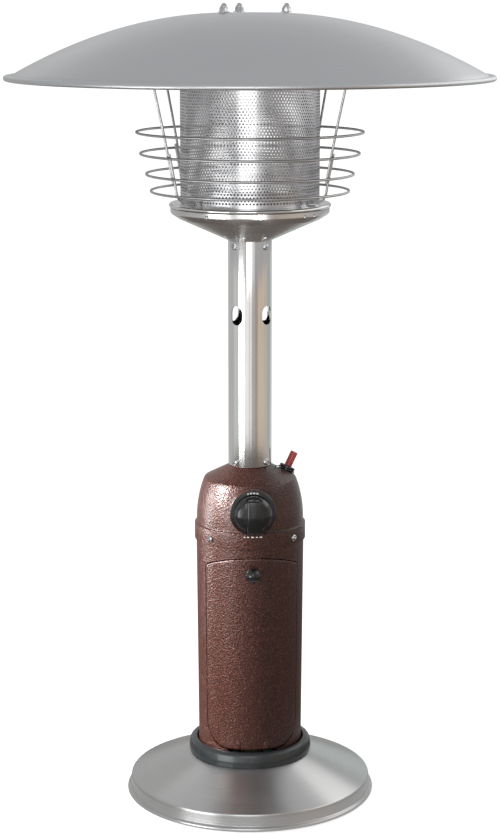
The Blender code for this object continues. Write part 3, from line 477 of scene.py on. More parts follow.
# ---------------------------------------------------------------- base
def make_base():
    radius = half_width("base_cone")
    low, top = low_z("base_cone"), high_z("base_cone")
    bead = 0.0025
    band, band_top, cone = 0.1482, 0.0215, 0.0740
    sheet = 0.0012
    outline = arc(radius - bead, low + bead, bead, -140, 100, 14)
    outline += [(band + 0.0006, low + 2 * bead + 0.0008, 0.0008), (band, band_top - 0.003, 0.002)]
    outline += [(band - 0.0004, band_top + 0.0004, 0.0034), (cone, top, 0.004), (0.020, top)]
    outline += [(0.020, top - sheet), (cone, top - sheet, 0.003),
                (band - 0.0030, band_top - 0.0004, 0.003), (band - sheet, low + 0.004, 0.002)]
    dress(turned("base_shell", outline, FINE), "brushed_base", "base_cone")

    inner = half_width("foot_ring") - 0.0099
    outer = half_width("foot_ring")
    ring_low, ring_top = low_z("foot_ring"), high_z("foot_ring")
    ring = [(inner, ring_low), (outer - 0.0006, ring_low, 0.0006), (outer, ring_low + 0.0065, 0.006),
            (outer - 0.0022, ring_top - 0.0008, 0.0052), (inner, ring_top, 0.0010)]
    dress(turned("base_ring", ring), "black_ring", "foot_ring")

    for index in range(3):
        node = f"foot_{index + 1}"
        low_corner, high_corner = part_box(node)
        centre = (low_corner + high_corner) / 2
        size, height = (high_corner.x - low_corner.x) / 2, high_corner.z
        pad = [(0, 0), (size - 0.0012, 0, 0.0006), (size, height * 0.5, 0.0008), (size - 0.0006, height),
               (0, height)]
        place = Matrix.Translation((centre.x, centre.y, 0))
        dress(turned(f"foot_pad_{index + 1}", pad, SMALL, place), "rubber", node)


# ---------------------------------------------------------------- lower housing and door
HOUSING_LOW = low_z("lower_housing")
HOUSING_TOP = high_z("lower_housing")
TAPER_LOW, TAPER_TOP = 0.0750, 0.3235
TAPER_LOW_RADIUS, TAPER_TOP_RADIUS = 0.0634, 0.0654
HOUSING_SHEET = 0.0010
HEM_TOP = 0.0600                 # below this the housing is a straight hem
DOOR_HALF_ANGLE = math.radians(58)
DOOR_LOW, DOOR_TOP = 0.0712, 0.3130
DOOR_ARCH = 0.0122
DOOR_CORNER, DOOR_TOP_CORNER = 0.0340, 0.0050
DOOR_PROUD = 0.0006
DOOR_GAP = 0.0010
DOOR_EDGE, DOOR_EDGE_DROP = 0.0026, 0.0010     # width and depth of the door's rolled edge


def housing_radius(z):
    rise = min(max((z - TAPER_LOW) / (TAPER_TOP - TAPER_LOW), 0.0), 1.0)
    return TAPER_LOW_RADIUS + (TAPER_TOP_RADIUS - TAPER_LOW_RADIUS) * rise


def door_side(spare):
    """The right side of the door's outline, unrolled, up to where its arched top starts."""
    radius = housing_radius(0.2)
    half = radius * DOOR_HALF_ANGLE + spare
    corner = DOOR_CORNER + spare
    top_corner = max(DOOR_TOP_CORNER + spare, 0.0005)
    low = DOOR_LOW - spare
    top = DOOR_TOP + spare - DOOR_ARCH
    points = arc(half - corner, low + corner, corner, -90, 0, 20)
    for step in range(1, 26):
        points.append((half, low + corner + (top - top_corner - low - corner) * step / 25))
    points += arc(half - top_corner, top - top_corner, top_corner, 0, 78, 6)[1:]
    return points


def door_grid(spare, columns=48):
    """Rows of (u, z) points over the unrolled door, bottom to top."""
    rows = []
    for half, z in door_side(spare):
        rows.append([(half * (2 * column / columns - 1), z) for column in range(columns + 1)])
    end, z_end = door_side(spare)[-1]
    arch = []
    for u, _ in rows[-1]:
        arch.append((u, z_end + (DOOR_TOP + spare - z_end) * (1 - (u / end) ** 2)))
    for share in (1 / 3, 2 / 3, 1.0):
        rows.append([(u, z_end + (z - z_end) * share) for u, z in arch])
    return rows


def door_solid(name, spare, inner_of, outer_of, edge=0.0):
    """A solid with the door's outline between two radii. Its outer edge is rolled in over edge metres."""
    radius = housing_radius(0.2)
    bm = bmesh.new()

    def lay(rows, radius_of, sunk=0.0):
        return [[bm.verts.new(around(radius_of(z) - sunk, math.degrees(u / radius), z)) for u, z in row]
                for row in rows]

    def rim(grid):
        right = [row[-1] for row in grid]
        left = [row[0] for row in grid]
        return grid[0][:-1] + right[:-1] + list(reversed(grid[-1]))[:-1] + list(reversed(left))[:-1]

    loops = []
    for share in ((0.0, 0.15, 0.4, 0.7) if edge else ()):
        sunk = DOOR_EDGE_DROP * (1 - math.sqrt(1 - (1 - share) ** 2))
        loops.append(rim(lay(door_grid(spare - edge * share), outer_of, sunk)))
    front = lay(door_grid(spare - edge), outer_of)
    back = lay(door_grid(spare), inner_of)
    loops = [rim(back)] + loops + [rim(front)]
    for grid in (front, back):
        for lower, upper in zip(grid, grid[1:]):
            for column in range(len(lower) - 1):
                bm.faces.new((lower[column], lower[column + 1], upper[column + 1], upper[column]))
    for first, second in zip(loops, loops[1:]):
        for index in range(len(first)):
            after = (index + 1) % len(first)
            bm.faces.new((first[index], first[after], second[after], second[index]))
    loose = [vert for vert in bm.verts if not vert.link_faces]
    bmesh.ops.delete(bm, geom=loose, context='VERTS')
    return mesh_object(name, bm, 40)


def make_housing():
    hem = half_width("lower_housing")
    floor = HOUSING_LOW + 0.0015
    outline = [(0, HOUSING_LOW), (hem - 0.0002, HOUSING_LOW, 0.0005), (hem, HEM_TOP, 0.006),
               (0.0641, 0.0680, 0.004), (housing_radius(TAPER_LOW), TAPER_LOW, 0.004),
               (housing_radius(TAPER_TOP), TAPER_TOP), (housing_radius(TAPER_TOP), HOUSING_TOP)]
    inner = [(r - HOUSING_SHEET, z) for r, z in
             ((housing_radius(TAPER_TOP), HOUSING_TOP), (housing_radius(TAPER_TOP), TAPER_TOP),
              (housing_radius(TAPER_LOW), TAPER_LOW), (hem, HEM_TOP), (hem, floor))]
    shell = turned("body_tube", outline + inner + [(0, floor)])
    tool = door_solid("tool", DOOR_GAP, lambda z: 0.050, lambda z: 0.080)
    combine(shell, tool, 'DIFFERENCE')
    bm = bmesh.new()
    slot_half, slot_low, slot_high = 0.0300, 0.0670, 0.0750
    box_mesh(bm, (-slot_half, -0.0800, slot_low), (slot_half, -0.0500, slot_high))
    combine(shell, mesh_object("tool", bm), 'DIFFERENCE')
    dress(shell, "hammered_bronze", "lower_housing")

    for side in (-1, 1):
        bm = bmesh.new()
        x_low, x_high = sorted((side * 0.0090, side * 0.0130))
        box_mesh(bm, (x_low, -0.0608, 0.0734), (x_high, -0.0500, 0.0806), 0.0008)
        box_mesh(bm, (x_low, -0.0528, floor - 0.0004), (x_high, -0.0500, 0.0760), 0.0004)
        dress(mesh_object(f"hinge_ear_{side + 2}", bm), "hammered_bronze")


def make_door():
    panel = door_solid("door_skin", 0.0, lambda z: housing_radius(z) + DOOR_PROUD - 0.0012,
                       lambda z: housing_radius(z) + DOOR_PROUD, DOOR_EDGE)
    bm = bmesh.new()
    for side in (-1, 1):
        x_low, x_high = sorted((side * 0.0135, side * 0.0195))
        box_mesh(bm, (x_low, -0.0626, 0.0722), (x_high, -0.0535, 0.0818), 0.0012)
    dress(mesh_object("door_lugs", bm), "hammered_bronze", body="door")
    dress(panel, "hammered_bronze", "door_panel", body="door")

    low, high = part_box("door_knob")
    ball = (high.x - low.x) / 2
    surface = Vector((0, -(housing_radius((low.z + high.z) / 2) + DOOR_PROUD), (low.z + high.z) / 2))
    middle = 0.0085
    profile = [(0, -0.0035), (0.0021, -0.0035), (0.0021, GAP), (0.0064, GAP, 0.0003), (0.0058, 0.0022, 0.001)]
    profile += arc(0, middle, ball, -38, 62, 14)
    profile += [(0.0030, middle + ball * 0.945, 0.0010), (0, middle + ball * 0.965)]
    dress(turned("door_pull", profile, 64, facing(surface, FRONT), sharp_deg=50), "black_plastic",
          "door_knob", body="door")


# ---------------------------------------------------------------- valve housing
BAND_RADIUS = half_width("valve_housing")
BAND_LOW, BAND_TOP = low_z("valve_housing"), 0.3445
DOME_RADIUS, DOME_LOW = 0.0650, 0.3500
SHOULDER_RADIUS, SHOULDER = 0.0562, 0.3985
DOME_TOP = high_z("valve_housing")
DOME_HOLE = 0.0251
BAND_MARK_Z = 0.3405
KNOB_Z = 0.3704
BOSS_RADIUS = 0.0281
BOSS_FACE, BOSS_BACK = 0.0682, 0.0525
BAND_INNER = 0.0660
KNOB_PLATE = 0.0020              # thickness of the plate behind the knob
KNOB_TRAVEL = 0.0040
SHEET = 0.0012


def dome_side(z, inset=0.0):
    rise = SHOULDER - DOME_LOW
    inwards = DOME_RADIUS - SHOULDER_RADIUS
    curve = (inwards ** 2 + rise ** 2) / (2 * inwards)
    up = max(z - DOME_LOW, 0.0)
    return DOME_RADIUS - (curve - math.sqrt(curve ** 2 - up ** 2)) - inset


def dome_top(radius):
    fall = (DOME_TOP - SHOULDER - 0.0022) / (SHOULDER_RADIUS - 0.0020 - DOME_HOLE)
    return DOME_TOP - (radius - DOME_HOLE) * fall


def make_valve_housing():
    heights = [DOME_LOW + (SHOULDER - 0.0016 - DOME_LOW) * step / 12 for step in range(13)]
    outline = [(DOME_HOLE, DOME_TOP), (0.0552, dome_top(0.0552), 0.0036)]
    outline += [(dome_side(z), z) for z in reversed(heights)]
    outline += [(DOME_RADIUS, BAND_TOP, 0.0016), (BAND_RADIUS, BAND_TOP, 0.0009),
                (BAND_RADIUS, BAND_LOW, 0.0006)]
    outline += [(BAND_INNER, BAND_LOW), (BAND_INNER, 0.3430), (DOME_RADIUS - SHEET, 0.3450)]
    outline += [(dome_side(z, SHEET), z) for z in heights]
    outline += [(0.0532, dome_top(0.0532) - SHEET, 0.003), (DOME_HOLE, DOME_TOP - SHEET)]
    dome = turned("valve_cover", outline)
    forwards = facing((0, 0, KNOB_Z), FRONT)
    hole = [(0, 0.040), (BOSS_RADIUS - SHEET / 2, 0.040), (BOSS_RADIUS - SHEET / 2, 0.080), (0, 0.080)]
    combine(dome, turned("tool", hole, 96, forwards, 0.37), 'DIFFERENCE')
    cup = [(0.0065, BOSS_FACE), (BOSS_RADIUS, BOSS_FACE, 0.0016), (BOSS_RADIUS, BOSS_BACK),
           (BOSS_RADIUS - SHEET, BOSS_BACK), (BOSS_RADIUS - SHEET, BOSS_FACE - SHEET, 0.0008),
           (0.0065, BOSS_FACE - SHEET)]
    combine(dome, turned("tool", cup, 96, forwards, 0.37), 'UNION')
    centre, axis = igniter_axis()
    drill = [(0, -0.02), (0.0075, -0.02), (0.0075, 0.02), (0, 0.02)]
    combine(dome, turned("tool", drill, SMALL, facing(centre, axis), 0.37), 'DIFFERENCE')
    dress(dome, "hammered_bronze", "valve_housing")

    # Plain white strokes stand on the band, under the knob.
    bm = bmesh.new()
    for azimuth, width in ((-8.5, 0.0016), (-5.0, 0.0024), (-0.5, 0.0030), (4.0, 0.0022), (8.0, 0.0030)):
        box_mesh(bm, (-width / 2, -0.0005, BAND_RADIUS - 0.0003), (width / 2, 0.0005, BAND_RADIUS + 0.0001),
                 place=facing((0, 0, BAND_MARK_Z), outwards(azimuth)))
    dress(mesh_object("band_marks", bm), "hammered_bronze", finish="white_mark")


# ---------------------------------------------------------------- igniter and knob
IGNITER_CIRCLE, IGNITER_AZIMUTH = 0.0470, 107


def igniter_axis():
    slope = math.atan((dome_top(0.03) - dome_top(0.05)) / 0.02)
    centre = around(IGNITER_CIRCLE, IGNITER_AZIMUTH, dome_top(IGNITER_CIRCLE))
    return centre, around(math.sin(slope), IGNITER_AZIMUTH, math.cos(slope))


def make_igniter():
    centre, axis = igniter_axis()
    place = facing(centre, axis)
    bore, throat, flange, ring, proud = 0.0050, 0.0072, 0.0108, 0.0098, 0.0240
    collar = [(bore, -0.0060), (throat, -0.0060), (throat, GAP), (flange, GAP, 0.0003),
              (flange, 0.0016, 0.0006), (ring - 0.0010, 0.0024, 0.0003), (ring, 0.0027, 0.0003),
              (ring, 0.0052, 0.0012), (bore, 0.0056)]
    dress(turned("igniter_nut", collar, 96, place), "black_plastic", "igniter_collar")

    # The button is ribbed along its length for grip.
    radius, depth, ribs = 0.0045, 0.0003, 18
    bm = bmesh.new()
    profile = rounded([(0, -0.0080), (radius, -0.0080), (radius, proud, 0.0007), (0, proud)], 4)
    spin(bm, profile, ribs * 6)
    for vert in bm.verts:
        if 0.0030 < vert.co.z < proud - 0.0008 and vert.co.xy.length > radius * 0.9:
            angle = math.atan2(vert.co.y, vert.co.x)
            vert.co.xy *= 1 - depth / radius * (0.5 - 0.5 * math.cos(ribs * angle))
    bmesh.ops.transform(bm, matrix=place, verts=bm.verts)
    dress(mesh_object("igniter_push", bm, 50), "red_plastic", "igniter_button", body="igniter_button")


def make_knob():
    place = facing((0, 0, KNOB_Z), FRONT)
    plate_radius = half_width("knob_bezel")
    plate_top = BOSS_FACE + KNOB_PLATE
    plate = [(0.0050, BOSS_FACE + GAP), (plate_radius, BOSS_FACE + GAP), (plate_radius, plate_top, 0.0009),
             (0.0050, plate_top)]
    dress(turned("knob_plate", plate, 96, place), "black_plastic", "knob_bezel")

    # Plain strokes stand where the real plate is lettered.
    bm = bmesh.new()
    stroke_high, mark_radius = 0.0008, 0.0247
    for azimuth, width in ((-14, 0.0018), (-6, 0.0026), (3, 0.0030), (12, 0.0022)):
        box_mesh(bm, (-width / 2, mark_radius - stroke_high, plate_top - 0.0002),
                 (width / 2, mark_radius + stroke_high, plate_top + 0.00012),
                 place=place @ Matrix.Rotation(math.radians(-azimuth), 4, 'Z'))
    dress(mesh_object("knob_plate_marks", bm), "black_plastic", finish="white_mark")

    low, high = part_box("control_knob")
    radius, front = (high.x - low.x) / 2, -low.y
    back = plate_top + KNOB_TRAVEL + GAP
    disc = [(0, front - 0.0100), (0.0038, front - 0.0100), (0.0038, back), (radius, back, 0.0004),
            (radius, back + 0.0042, 0.0022), (radius - 0.0032, front - 0.0082, 0.004),
            (0.0130, front - 0.0062, 0.006), (0, front - 0.0055)]
    knob = turned("knob_cap", disc, 96, place, 0.37, 40)
    bm = bmesh.new()
    box_mesh(bm, (-0.0098, -front, KNOB_Z - 0.0208), (0.0098, -front + 0.0095, KNOB_Z + 0.0200), 0.0026, 5)
    for vert in bm.verts:
        # The grip narrows and falls towards its two ends.
        along = (vert.co.z - KNOB_Z) / 0.0205
        if vert.co.y < -front + 0.0070:
            vert.co.x *= 0.80
            vert.co.y += 0.0020 * along ** 4
    combine(knob, mesh_object("tool", bm), 'UNION', 40)
    dress(knob, "black_plastic", "control_knob", body="knob")

    bm = bmesh.new()
    dot = [(0, -0.0004), (0.0011, -0.0004), (0.0011, 0.0002, 0.0001), (0, 0.0002)]
    spin(bm, rounded(dot, 2), 24, facing((0, -(back + 0.0050), KNOB_Z + radius - 0.0015), (0, -0.8, 0.6)))
    dress(mesh_object("knob_pointer", bm), "black_plastic", body="knob", finish="white_mark")


# ---------------------------------------------------------------- fasteners
def screw_mesh(name, head_radius, length=0.0065):
    """A pan-head screw standing on the origin, with a cross recess, its shank running down."""
    head = [(0, -length), (0.0018, -length), (0.0018, 0), (head_radius, 0, 0.0001),
            (head_radius, 0.0012, 0.0006), (head_radius * 0.80, 0.0022, 0.0012), (0, 0.0028)]
    screw = turned(name, head, 40, None, 0.37, 40)
    long, wide, deep = head_radius * 0.62, head_radius * 0.16, 0.0010
    for turn in (0, 90):
        bm = bmesh.new()
        box_mesh(bm, (-long, -wide, deep), (long, wide, 0.0040),
                 place=Matrix.Rotation(math.radians(turn + 0.2), 4, 'Z'))
        combine(screw, mesh_object("tool", bm), 'DIFFERENCE', 40)
    return screw


def screw_at(master, name, point, direction, turn_deg, *nodes):
    """A copy of a screw, with its own object and the master's mesh."""
    made = bpy.data.objects.new(name, master.data)
    bpy.context.scene.collection.objects.link(made)
    made.matrix_world = facing(point, direction) @ Matrix.Rotation(math.radians(turn_deg), 4, 'Z')
    dress(made, "zinc_plated", *nodes)


def make_screws():
    master = screw_mesh("screw_master", 0.0040)
    post_radius = half_width("post")
    groups = (("housing_screw", (-48, 48, 132, 228), BAND_RADIUS, 0.3335),
              ("post_screw_low", (-45, 45, 135, 225), post_radius, 0.4214),
              ("post_screw_top", (-48, 42, 132, 222), post_radius, 0.6822))
    for group, azimuths, radius, z in groups:
        for index, azimuth in enumerate(azimuths):
            node = f"{group}_{index + 1}"
            turn = 17 + 53 * index + 29 * len(group)
            screw_at(master, f"{node}_head", around(radius, azimuth, z), outwards(azimuth), turn, node)
    # Screws through the bowl's rounded side hold the plate and the emitter.
    small = screw_mesh("small_screw_master", 0.0028, 0.0045)
    bowl_radius, bowl_z, lid_radius = 0.0935, 0.7225, 0.0330
    for index, azimuth in enumerate((-35, 40, 50, 142, 232)):
        tilted = outwards(azimuth) - 0.20 * UP
        screw_at(small, f"bowl_screw_{index + 1}", around(bowl_radius, azimuth, bowl_z), tilted, 31 * index)
    lid = around(lid_radius, 84, dome_top(lid_radius))
    screw_at(small, "lid_screw", lid, igniter_axis()[1], 12)
    for spare in (master, small):
        bpy.data.objects.remove(spare)


# ---------------------------------------------------------------- post
def make_post():
    low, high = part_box("post")
    radius, wall = half_width("post"), 0.0012
    outline = [(radius, low.z, 0.0003), (radius, high.z, 0.0003), (radius - wall, high.z),
               (radius - wall, low.z)]
    post = turned("post_tube", outline)
    half, straight, hole_z, reach = 0.0080, 0.0035, 0.6000, 0.040
    hole = [(u, v + straight) for u, v in arc(0, 0, half, 0, 180, 16)]
    hole += [(u, v - straight) for u, v in arc(0, 0, half, 180, 360, 16)]
    for azimuth in (49, 139):
        direction = outwards(azimuth)
        place = axes_at((0, 0, hole_z), UP.cross(direction), UP, direction)
        combine(post, prism("tool", hole, -reach, reach, place), 'DIFFERENCE')
    dress(post, "polished_steel", "post")


# ---------------------------------------------------------------- burner
def make_burner():
    neck, foot, foot_z = 0.0247, 0.0272, 0.6890
    crease, crease_z = 0.0850, 0.7150
    side, side_z = 0.0945, 0.7212
    wall = 0.0010
    lip, top = half_width("burner_bowl"), high_z("burner_bowl")
    neck_low = low_z("burner_bowl")
    outline = [(neck, neck_low), (neck, foot_z), (foot, foot_z, 0.0004), (crease, crease_z, 0.0025),
               (side, side_z, 0.0040), (lip, top), (lip - wall, top),
               (side - wall, side_z + 0.4 * wall, 0.0035), (crease - 0.5 * wall, crease_z + wall, 0.002),
               (neck, foot_z + 0.8 * wall), (neck - wall, foot_z), (neck - wall, neck_low)]
    bowl = turned("bowl_shell", outline)
    slope = (crease_z - foot_z) / (crease - foot)
    vent = [(1.7 * u, v) for u, v in arc(0, 0, 0.0012, 0, 345, 12)]
    vent_circle, vents = 0.0400, 10
    for index in range(vents):
        azimuth = -13 + 360 / vents * index
        spot = around(vent_circle, azimuth, foot_z + (vent_circle - foot) * slope)
        place = axes_at(spot, UP.cross(outwards(azimuth)), outwards(azimuth), UP)
        combine(bowl, prism("tool", vent, -0.006, 0.006, place), 'DIFFERENCE')
    dress(bowl, "polished_steel", "burner_bowl", finish="bowl_steel")

    radius, plate_top = half_width("burner_plate"), high_z("burner_plate")
    bead, inner = 0.0024, 0.0600
    plate = [(inner, plate_top), (radius - 2.6 * bead, plate_top)]
    plate += arc(radius - bead, plate_top - bead, bead, 100, -130, 14)
    underside = plate_top - SHEET
    plate += [(radius - 2.2 * bead, underside - 0.0008, 0.0006), (radius - 3 * bead, underside),
              (inner, underside)]
    dress(turned("bowl_plate", plate, FINE), "polished_steel", "burner_plate")


# ---------------------------------------------------------------- emitter
EMITTER_SEAM = 2.9               # azimuth of the sheet's seam
HOLES_ROUND = 128
HOLE_SHARE = 0.30                # hole radius over pitch
EMITTER_MARGIN = 0.0035
EMITTER_SHEET = 0.0006


def emitter_quarter(index):
    """A quarter of the perforated tube: holes in staggered rows at 60 degrees, each in its own six-sided
    cell of sheet, with a plain margin along the top and bottom."""
    radius = half_width("emitter")
    low, high = low_z("emitter"), high_z("emitter")
    pitch = 2 * math.pi * radius / HOLES_ROUND
    step = pitch * math.sqrt(3) / 2
    rows = int((high - low - 2 * EMITTER_MARGIN) / step)
    first_z = (low + high - (rows - 1) * step) / 2
    columns = HOLES_ROUND // 4
    bm = bmesh.new()
    known = {}

    def place(u, z):
        return bm.verts.new(around(radius, EMITTER_SEAM + math.degrees(u / radius), z))

    def shared(key, u, z):
        if key not in known:
            known[key] = place(u, z)
        return known[key]

    # Steps round a cell's edge from its right side: (quarters of the pitch, sixths of the row step).
    edge = ((2, 0), (2, 2), (1, 3), (0, 4), (-1, 3), (-2, 2), (-2, 0), (-2, -2), (-1, -3), (0, -4), (1, -3),
            (2, -2))
    for row in range(rows):
        for column in range(columns):
            across = 4 * (index * columns + column) + 2 * (row % 2)
            u, z = across * pitch / 4, first_z + row * step
            cell = [shared((across + a, 6 * row + b), u + a * pitch / 4, z + b * step / 6) for a, b in edge]
            hole = []
            for corner in range(12):
                angle = math.radians(30 * corner)
                hole.append(place(u + HOLE_SHARE * pitch * math.cos(angle),
                                  z + HOLE_SHARE * pitch * math.sin(angle)))
            for corner in range(12):
                after = (corner + 1) % 12
                bm.faces.new((cell[corner], cell[after], hole[after], hole[corner]))
            for wanted, level, reach in ((0, low, -1), (rows - 1, high, 1)):
                if row != wanted:
                    continue
                run = sorted((a, b) for a, b in edge if b * reach >= 2)
                for (a, b), (c, d) in zip(run, run[1:]):
                    ends = [shared((across + s, level), u + s * pitch / 4, level) for s in (a, c)]
                    near = [known[(across + a, 6 * row + b)], known[(across + c, 6 * row + d)]]
                    bm.faces.new((near[0], near[1], ends[1], ends[0]))
    quarter = mesh_object(f"emitter_quarter_{index + 1}", bm, 40)
    sheet = quarter.modifiers.new("sheet", 'SOLIDIFY')
    sheet.thickness = EMITTER_SHEET
    sheet.offset = -1.0
    apply_modifiers(quarter)
    shade(quarter, 40)
    return quarter


def make_emitter():
    for index in range(4):
        nodes = ("emitter",) if index == 0 else ()
        dress(emitter_quarter(index), "emitter_steel", *nodes)
    low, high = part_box("emitter_cap")
    radius = half_width("emitter_cap")
    cap = [(0, low.z), (radius, low.z, 0.0004), (radius, high.z, 0.0006), (0, high.z)]
    dress(turned("emitter_lid", cap), "brushed_base", "emitter_cap")


# ---------------------------------------------------------------- guard
GUARD_WIRE = 0.0015
GUARD_RINGS = ((0.1172, 0.747), (0.1226, 0.767), (0.1294, 0.791), (0.1338, 0.816))
GUARD_AZIMUTHS = (-50.3, 45.2, 137.0, 222.4)
GUARD_SHOULDER_Z = 0.8930
GUARD_FLARE = 0.0014             # how far the uprights bow out over the top ring


def guard_line(z):
    (low_r, low_height), (high_r, high_height) = GUARD_RINGS[0], GUARD_RINGS[-1]
    return low_r + (z - low_height) * (high_r - low_r) / (high_height - low_height) - 2 * GUARD_WIRE + 0.0004


def make_guard():
    bm = bmesh.new()
    for radius, z in GUARD_RINGS:
        sweep(bm, [around(radius, 360 * step / 120, z) for step in range(120)], GUARD_WIRE, 12, True)
    foot_z = high_z("burner_plate") + GUARD_WIRE + GAP
    cap_z = high_z("emitter_cap") + GUARD_WIRE + GAP
    beside = GUARD_WIRE * 1.02
    for azimuth in GUARD_AZIMUTHS:
        radial, along = outwards(azimuth), UP.cross(outwards(azimuth))

        def spot(radius, z, sideways):
            return radial * radius + along * sideways + UP * z

        # The lower wire ends in a hairpin foot: it runs in over the plate and comes back on the plate.
        fold = 0.0040
        lower = [spot(guard_line(0.796), 0.796, beside), spot(guard_line(0.764), 0.764, beside),
                 spot(guard_line(0.748), 0.748, beside), spot(0.1080, foot_z + fold + 0.0028, beside),
                 spot(0.0990, foot_z + fold, beside), spot(0.0895, foot_z + fold, beside),
                 spot(0.0868, foot_z + 0.5 * fold, beside), spot(0.0890, foot_z, beside),
                 spot(0.0930, foot_z, beside), spot(0.1000, foot_z + 0.0002, beside)]
        sweep(bm, smooth_path(lower, 0.0015), GUARD_WIRE, 10)
        top = guard_line(GUARD_SHOULDER_Z)
        upper = [spot(guard_line(0.762), 0.762, -beside), spot(guard_line(0.820), 0.820, -beside),
                 spot(guard_line(0.880) + GUARD_FLARE, 0.880, -beside),
                 spot(top - 0.0010, GUARD_SHOULDER_Z, -beside), spot(top - 0.0100, cap_z - 0.0045, -beside),
                 spot(top - 0.0220, cap_z, -beside), spot(0.0790, cap_z, -beside)]
        sweep(bm, smooth_path(upper, 0.0025), GUARD_WIRE, 10)
    dress(mesh_object("guard_basket", bm, 50), "guard_wire", "wire_guard")


# ---------------------------------------------------------------- reflector
def make_reflector():
    radius, crown = half_width("reflector"), high_z("reflector")
    bead, rim_z = 0.0031, 0.8795
    wall, flat, fall = 0.2770, 0.0250, 1.11

    def height(r):
        return crown - fall * max(r - flat, 0.0) ** 2

    radii = [flat + (wall - flat) * step / 40 for step in range(41)]
    outline = [(0, crown)] + [(r, height(r)) for r in radii]
    outline += [(wall + 0.0016, rim_z + 0.0026)]
    outline += arc(radius - bead, rim_z, bead, 120, -175, 22)
    outline += arc(radius - bead, rim_z, bead - 0.0008, -175, 100, 16)
    outline += [(wall + 0.0010, rim_z + 0.0010)]
    outline += [(r, height(r) - SHEET) for r in reversed(radii[:-1])]
    outline += [(0, crown - SHEET)]
    dress(turned("reflector_dish", outline, 256), "satin_aluminium", "reflector")

    for index in range(3):
        low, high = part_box(f"reflector_nut_{index + 1}")
        middle = (low + high) / 2
        top = high.z - low.z
        hexagon, cap, washer = 0.0056, 0.0044, 0.0070
        nut = turned(f"cap_nut_{index + 1}",
                     [(0, 0), (washer, 0, 0.0003), (washer, 0.0010, 0.0004), (hexagon - 0.0004, 0.0012)]
                     + [(hexagon, 0.0015), (hexagon, 0.0048), (hexagon - 0.0006, 0.0056, 0.0003),
                        (cap, 0.0058, 0.0006), (cap, top - 0.0040, 0.0030), (0.0020, top - 0.0004, 0.0014),
                        (0, top)], 72)
        flats = math.cos(math.pi / 6)
        for vert in nut.data.vertices:
            size = vert.co.xy.length
            if 0.0013 < vert.co.z < 0.0050 and size > hexagon - 0.0001:
                angle = (math.atan2(vert.co.y, vert.co.x) + math.radians(20 * index)) % (math.pi / 3)
                vert.co.xy *= flats / math.cos(angle - math.pi / 6)
        shade(nut, 25)
        nut.location = (middle.x, middle.y, low.z)
        dress(nut, "zinc_plated", f"reflector_nut_{index + 1}")


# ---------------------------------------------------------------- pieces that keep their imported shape
def own_outline(node):
    """A turned node's own outline, read in order from its vertices in front of the axis."""
    mesh = frame["nodes"][node].data
    spots = {}
    for vert in mesh.vertices:
        run = vert.co.xy.length
        if run < 1e-5 or (Vector((vert.co.x, vert.co.y, 0)) / run - outwards(0)).length < 1e-3:
            spots[vert.index] = (round(run, 5), round(vert.co.z, 5))
    links = {}
    for edge in mesh.edges:
        ends = [spots.get(index) for index in edge.vertices]
        if None not in ends and ends[0] != ends[1]:
            links.setdefault(ends[0], set()).add(ends[1])
            links.setdefault(ends[1], set()).add(ends[0])
    walk = [min(spot for spot in links if spot[0] < 1e-5)]
    while True:
        ahead = [spot for spot in sorted(links[walk[-1]]) if spot not in walk]
        if not ahead:
            return walk
        walk.append(ahead[0])


KEPT = {
    "zinc_plated": ("base_bolt_1", "base_bolt_2", "base_bolt_3", "hinge_pin", "cylinder_cradle",
                    "valve_bracket", "valve_stem", "post_socket", "reflector_stud_1", "reflector_stud_2",
                    "reflector_stud_3"),
    "painted_iron": ("base_weight", "door_catch"),
    "brass": ("valve_feed_pipe", "valve_plug", "burner_pipe", "pilot_pipe", "pilot_burner"),
    "cast_zinc": ("gas_valve", "regulator", "burner_head"),
    "black_plastic": ("tilt_switch", "igniter_body"),
    "ceramic": ("spark_electrode",),
}


def keep_nodes():
    """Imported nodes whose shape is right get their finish, and smooth shading between their facets."""
    dress(turned("gas_bottle", own_outline("gas_cylinder"), 96), "cylinder_paint", "gas_cylinder")
    for slot, nodes in KEPT.items():
        for node in nodes:
            kept = frame["nodes"][node]
            kept.data.materials.clear()
            kept.data.materials.append(FINISHES[slot])
            kept.data.shade_smooth()
            weld = kept.modifiers.new("weld", 'WELD')
            weld.merge_threshold = 0.00001
            split = kept.modifiers.new("split", 'EDGE_SPLIT')
            split.split_angle = math.radians(35)


# ---------------------------------------------------------------- studio
CAMERA_DISTANCE = 2.442
CAMERA_HEIGHT = 0.9706
CAMERA_PITCH = math.radians(11.513)
CAMERA_AZIMUTH = -3.0
CAMERA_LENS = 88.84


def make_camera():
    data = bpy.data.cameras.new("camera")
    data.lens = CAMERA_LENS
    data.sensor_width = 36.0
    camera = bpy.data.objects.new("camera", data)
    bpy.context.scene.collection.objects.link(camera)
    camera.location = around(CAMERA_DISTANCE, CAMERA_AZIMUTH, CAMERA_HEIGHT)
    camera.rotation_euler = (math.pi / 2 - CAMERA_PITCH, 0, math.radians(CAMERA_AZIMUTH))
    bpy.context.scene.camera = camera


def emission(name, colour):
    made = bpy.data.materials.new(name)
    made.use_nodes = True
    tree = made.node_tree
    tree.nodes.clear()
    glow = add_node(tree, "Emission", {"Color": (*colour, 1.0)})
    output = add_node(tree, "OutputMaterial")
    tree.links.new(glow.outputs[0], output.inputs["Surface"])
    return made


def make_floor():
    bm = bmesh.new()
    bmesh.ops.create_grid(bm, x_segments=1, y_segments=1, size=3000.0)
    floor = mesh_object("floor", bm)
    made, _, shader = new_material("floor", (0.85, 0.85, 0.85), 0.9)
    shader.inputs["Specular IOR Level"].default_value = 0.0
    shader.inputs["Emission Color"].default_value = (1.0, 1.0, 1.0, 1.0)
    shader.inputs["Emission Strength"].default_value = 0.72
    floor.data.materials.append(made)
    floor.visible_glossy = False


